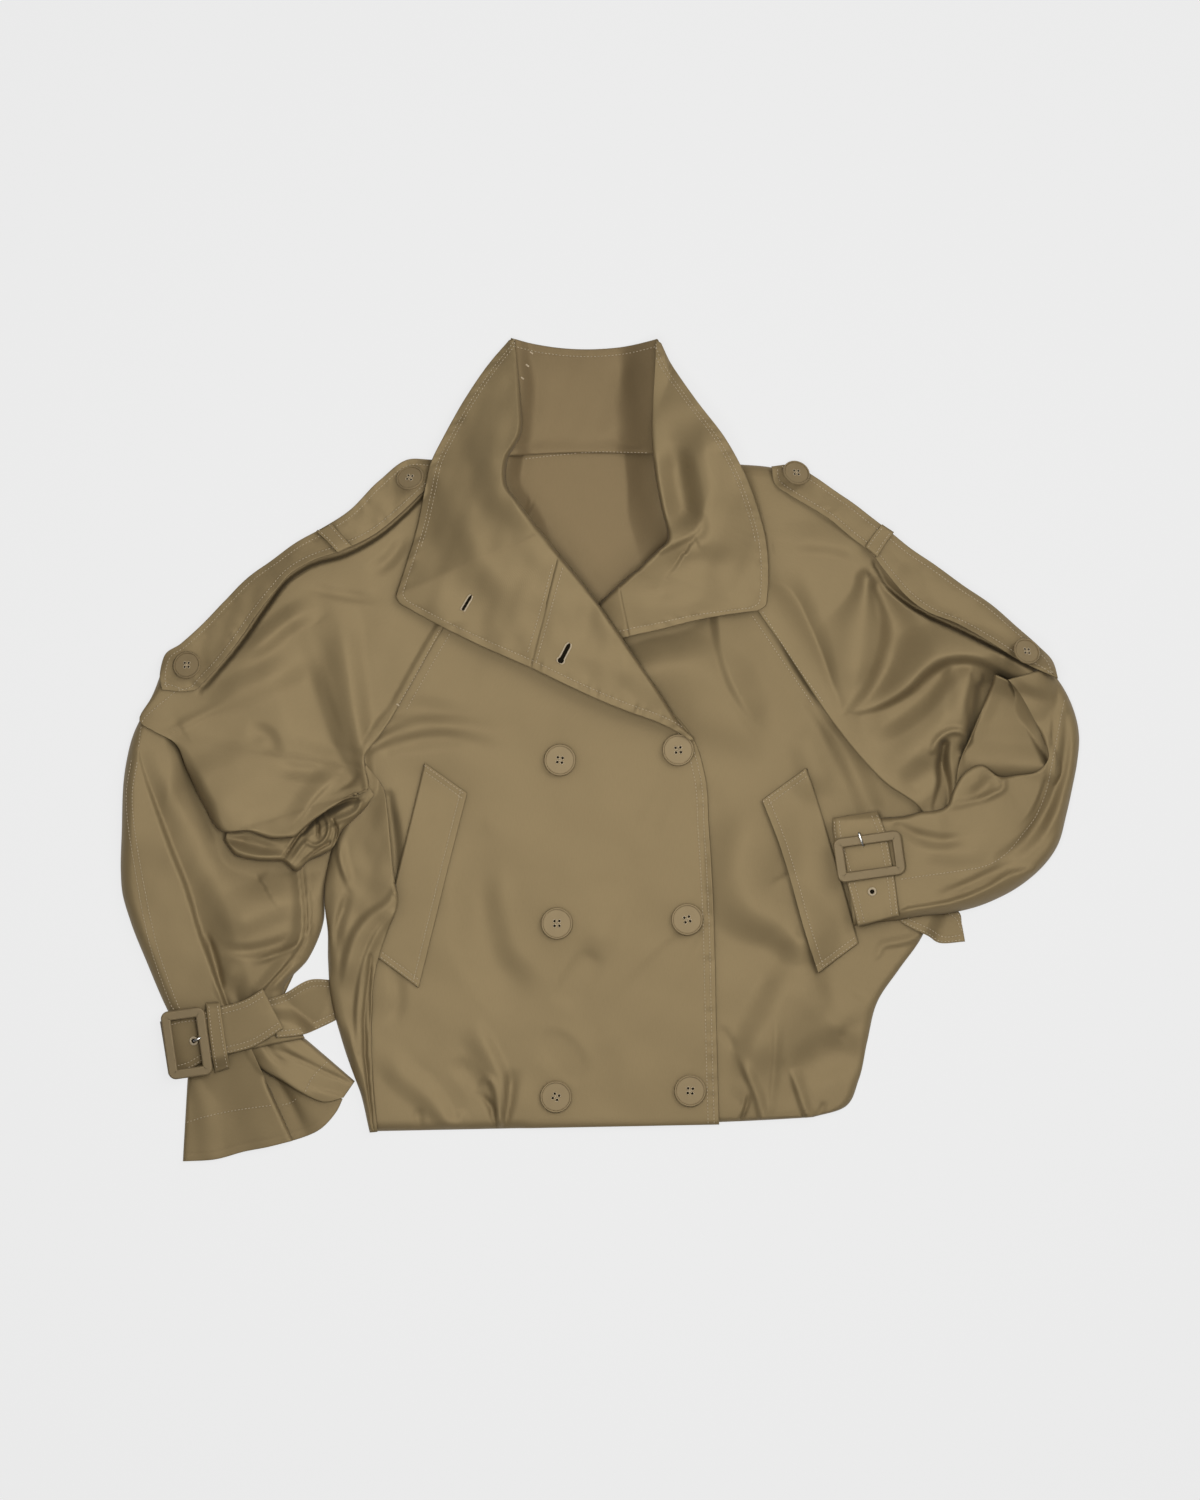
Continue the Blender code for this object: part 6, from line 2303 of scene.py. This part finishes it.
@dataclass
class CuffBuckle:
    """A moulded frame round the cuff strap, with a metal pin.

    Attributes:
        side: Which sleeve it is on.
        spot: Its middle, on the layout.
        turn: How far it is turned, in degrees.
        pin_start: Where the pin leaves the bar, on the layout.
        pin_end: Where the pin ends, on the layout.
        length: Along its longer side.
        width: Along its shorter side.
        bar: Its frame's width.
        height: Its frame's height.
    """

    side: str
    spot: Spot
    turn: float
    pin_start: Spot
    pin_end: Spot
    length: float = 60 * MM
    width: float = 39 * MM
    bar: float = 8.5 * MM
    height: float = 3.8 * MM

    def frame(self) -> tuple[list, list]:
        """Sweeps the flat section, with its narrow bevels, round the frame.

        Returns:
            Its points and faces.
        """
        half = [(0.0, -0.5), (0.0, 0.22), (0.03, 0.38), (0.09, 0.48), (0.15, 0.5), (0.19, 0.5)]
        section = half + [(1.0 - across, up) for across, up in reversed(half)]
        path = rounded(self.width - self.bar, self.length - self.bar, 2.4 * MM)
        points, faces = [], []
        for x, y, ox, oy in path:
            for across, up in section:
                out = (across - 0.5) * self.bar
                points.append((x + ox * out, y + oy * out, up * self.height))
        rows, n = len(path), len(section)
        for row in range(rows):
            here, there = row * n, (row + 1) % rows * n
            for k in range(n):
                m = (k + 1) % n
                faces.append((here + k, here + m, there + m, there + k))
        return points, faces

    def build(self, coat: Coat) -> None:
        """Makes the frame and the pin on what lies there.

        Args:
            coat: The coat.
        """
        x, y = (float(value) for value in Plan.place(*self.spot))
        base = coat.pile.crown(x, y, self.length * 0.45)
        points, faces = self.frame()
        made = object_of(f"Buckle_{self.side}", points, faces)
        made.data.set_sharp_from_angle(angle=math.radians(60))
        made.location = (x, y, base + self.height / 2)
        made.rotation_euler = (0, 0, math.radians(self.turn))
        coat.add(made, coat.finishes.buckle, "buckle", f"buckle_{self.side}")
        top = base + self.height
        ends = [Vector((*(float(v) for v in Plan.place(*spot)), top + 0.8 * MM))
                for spot in (self.pin_start, self.pin_end)]
        made = object_of(f"Prong_{self.side}", *self.pin(*ends))
        coat.add(made, coat.finishes.metal, "pin", f"prong_{self.side}")

    @staticmethod
    def pin(start: Vector, end: Vector, radius: float = 1.1 * MM) -> tuple[list, list]:
        """A round pin that arches a little and narrows to a blunt tip.

        Args:
            start: Where it leaves the bar.
            end: Its tip.
            radius: Its radius.

        Returns:
            Its points and faces.
        """
        sides, up = 14, Vector((0, 0, 1))
        across = (end - start).cross(up).normalized()
        points, faces = [], []
        stops = ((0, 0.2), (0.02, 0.75), (0.1, 1), (0.5, 1), (0.8, 0.85), (0.96, 0.6), (1, 0.2))
        for share, size in stops:
            middle = start.lerp(end, share) + up * math.sin(math.pi * share) * 0.5 * MM
            points += [middle + (across * c + up * s) * radius * size for c, s in circle(sides)]
        for row in range(len(stops) - 1):
            for k in range(sides):
                a, b = row * sides + k, row * sides + (k + 1) % sides
                faces.append((a, b, b + sides, a + sides))
        faces.append(tuple(range(sides))[::-1])
        faces.append(tuple(range((len(stops) - 1) * sides, len(stops) * sides)))
        return points, faces


@dataclass
class Fastenings:
    """The coat's buttons and buckles."""

    front: float = 28 * MM
    shoulder: float = 24.5 * MM

    def set_buttons(self, coat: Coat) -> None:
        """Sets every button, before the collar is laid.

        Args:
            coat: The coat.
        """
        for name, spot, turn in FRONT_BUTTONS:
            Button(name.capitalize(), name, self.front, spot, turn).build(coat)
        for name, spot, turn, lean, about in SHOULDER_BUTTONS:
            Button(name.capitalize(), name, self.shoulder, spot, turn, lean, about).build(coat)

    def set_buckles(self, coat: Coat) -> None:
        """Sets both cuff buckles."""
        for side, spot, turn, start, end in BUCKLES:
            CuffBuckle(side, spot, turn, start, end).build(coat)


@dataclass
class Needlework:
    """Every row of stitches on the coat."""

    edge: float = 6.5 * MM

    def sew(self, coat: Coat) -> None:
        """Sews the collar, fronts, sleeves, pockets and straps.

        Args:
            coat: The coat.
        """
        collar = Stitching(coat, "Stitches_collar")
        for name in ("Collar_right", "Collar_left", "Lapel_right", "Lapel_left"):
            collar.inside(name, "a", self.edge)
        collar.inside("Collar_back", "first", self.edge)
        collar.drawn(("Back", "Collar_back"), (525, 459), (560, 455), (600, 452), (650, 454))
        collar.drawn("Collar_right", (553, 566), (541, 610), (527, 656))
        collar.drawn("Lapel_right", (563, 569), (550, 615), (536, 664))
        collar.drawn("Collar_left", (612, 597), (617, 622), (622, 636))
        for name in ("Collar_left", "Collar_right"):
            collar.inside(name, "a", self.edge + 3.4 * MM, 0.0, 0.62)
        for spot in ((530, 352), (526, 365), (521, 378)):
            collar.tack("Collar_back", spot, (spot[0] + 3, spot[1] + 2))
        collar.build()
        holes = Stitching(coat, "Stitches_holes")
        Buttonhole("Buttonhole_collar", "Collar_right", (472, 596), (463, 611), eye=0.0,
                   width=2.2 * MM).build(coat, holes)
        Buttonhole("Buttonhole_lapel", "Lapel_right", (570, 644), (561, 661)).build(coat, holes)
        Eyelet("Eyelet_right", "Strap_right", (195, 1040)).build(coat, holes)
        Eyelet("Eyelet_left", "Strap_left", (871, 891)).build(coat, holes)
        holes.build()
        fronts = Stitching(coat, "Stitches_fronts")
        for row in (4.4 * MM, 9.7 * MM):
            fronts.inside("Front_right", "b", row, 0.32)
        fronts.tack("Sleeve_right", (397, 704), (407, 711))
        fronts.drawn(("Sleeve_right", "Front_right"), (440, 630), (419, 670), (396, 710))
        fronts.drawn(("Sleeve_right", "Front_right"), (450, 634), (428, 672), (405, 713))
        fronts.drawn(("Sleeve_left", "Front_left"), (762, 612), (792, 660), (824, 704))
        fronts.drawn(("Sleeve_left", "Front_left"), (752, 616), (783, 662), (814, 707))
        fronts.build()
        pockets = Stitching(coat, "Stitches_pockets")
        for name, side in (("Welt_right", "b"), ("Welt_left", "a")):
            pockets.inside(name, side, self.edge)
            for end in ("first", "last"):
                pockets.inside(name, end, 2.0 * MM)
                pockets.inside(name, end, self.edge)
        pockets.build()
        straps = Stitching(coat, "Stitches_straps")
        for names, sides, rows in (
            (("Epaulette_right", "Epaulette_left"), ("a", "b", "last"), (self.edge * 0.8,)),
            (("Strap_right", "Strap_right_tail", "Strap_left", "Strap_left_tail"), ("a", "b"),
             (1.8 * MM, 6.2 * MM)),
            (("Keeper_right", "Epaulette_loop_right", "Epaulette_loop_left"), ("a", "b"), (2.4 * MM,)),
        ):
            for name in names:
                for side in sides:
                    for row in rows:
                        straps.inside(name, side, row)
        straps.build()
        sleeves = Stitching(coat, "Stitches_sleeves")
        right = ("Sleeve_right", "Sleeve_right_fore", "Cuff_right")
        sleeves.drawn(right, (176, 692), (150, 714), (143, 725), (140, 750))
        sleeves.drawn(right, (133, 760), (128, 800), (135, 860), (150, 940), (170, 1000), (176, 1010))
        sleeves.drawn(right, (139, 762), (134, 800), (141, 860), (157, 940), (177, 1000), (183, 1010))
        sleeves.drawn(right, (187, 1122), (210, 1115), (240, 1109), (275, 1104))
        sleeves.drawn("Cuff_right_pleat", (282, 1105), (292, 1102), (300, 1095))
        sleeves.drawn("Cuff_right_back", (306, 1091), (311, 1080), (318, 1071), (329, 1060))
        left = ("Sleeve_left", "Sleeve_left_fore")
        sleeves.drawn(left, (1063, 700), (1057, 730), (1050, 765), (1045, 790), (1035, 815),
                      (1020, 835), (1005, 853), (985, 865), (960, 870), (925, 875), (897, 879))
        sleeves.build()


@dataclass
class Studio:
    """The floor, lights and camera.

    Attributes:
        frame_height: What the picture's long side spans on the floor.
        distance: From the camera to the floor.
        key: The key light's power, in watts.
        overhead: The overhead light's power, in watts.
        fill: How bright the room is.
    """

    frame_height: float = 1500 * Plan.UNIT
    distance: float = 5.0
    key: float = 32.0
    overhead: float = 11.6
    fill: float = 0.06

    MIDDLE = (600, 750)

    def build(self) -> None:
        """Makes the floor, the lights and the camera."""
        self.floor()
        self.lights()
        self.camera()

    def floor(self) -> None:
        """A wide pale sheet just under the coat."""
        made = object_of("Floor", [(-6, -6, 0), (6, -6, 0), (6, 6, 0), (-6, 6, 0)],
                         [(0, 1, 2, 3)], smooth=False)
        made.location.z = min(0.0, CAD_LOW.z) - 0.2 * MM
        made.data.materials.append(Paper("paper", (0.08, 0.08, 0.08)).material())

    def lights(self) -> None:
        """A soft key light at the upper right, another overhead, and a dim pale room."""
        for name, place, size, power in (
            ("Key", (1.70, 1.30, 2.55), 1.7, self.key),
            ("Overhead", (-0.03, -0.04, 1.38), 0.6, self.overhead),
        ):
            light = bpy.data.lights.new(name, "AREA")
            light.size = size
            light.energy = power
            made = linked(name, light)
            made.location = place
            made.rotation_euler = Vector(place).to_track_quat("Z", "Y").to_euler()
            made.visible_camera = False
        world = bpy.data.worlds.new("Room")
        world.use_nodes = True
        room = world.node_tree.nodes["Background"]
        room.inputs["Color"].default_value = (1.0, 1.0, 1.0, 1.0)
        room.inputs["Strength"].default_value = self.fill
        bpy.context.scene.world = world
        bpy.context.scene.view_settings.view_transform = "Standard"

    def camera(self) -> None:
        """A camera that looks straight down."""
        lens = bpy.data.cameras.new("Camera")
        lens.sensor_width = 36.0
        lens.lens = 36.0 * self.distance / self.frame_height
        lens.clip_end = 50
        made = linked("Camera", lens)
        x, y = Plan.place(*self.MIDDLE)
        made.location = (float(x), float(y), self.distance)
        bpy.context.scene.camera = made


def main() -> None:
    """Lays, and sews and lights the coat."""
    logging.basicConfig(level=logging.INFO, format="%(name)s: %(message)s")
    coat = Coat(Pile(), Wardrobe.made())
    fastenings = Fastenings()
    LeftFront().lay(coat)
    LeftSleeve().lay(coat)
    RightSleeve().lay(coat)
    RightFront().lay(coat)
    Epaulettes().lay(coat)
    fastenings.set_buttons(coat)
    Collar().lay(coat)
    fastenings.set_buckles(coat)
    Needlework().sew(coat)
    Studio().build()


if __name__ == "__main__":
    main()
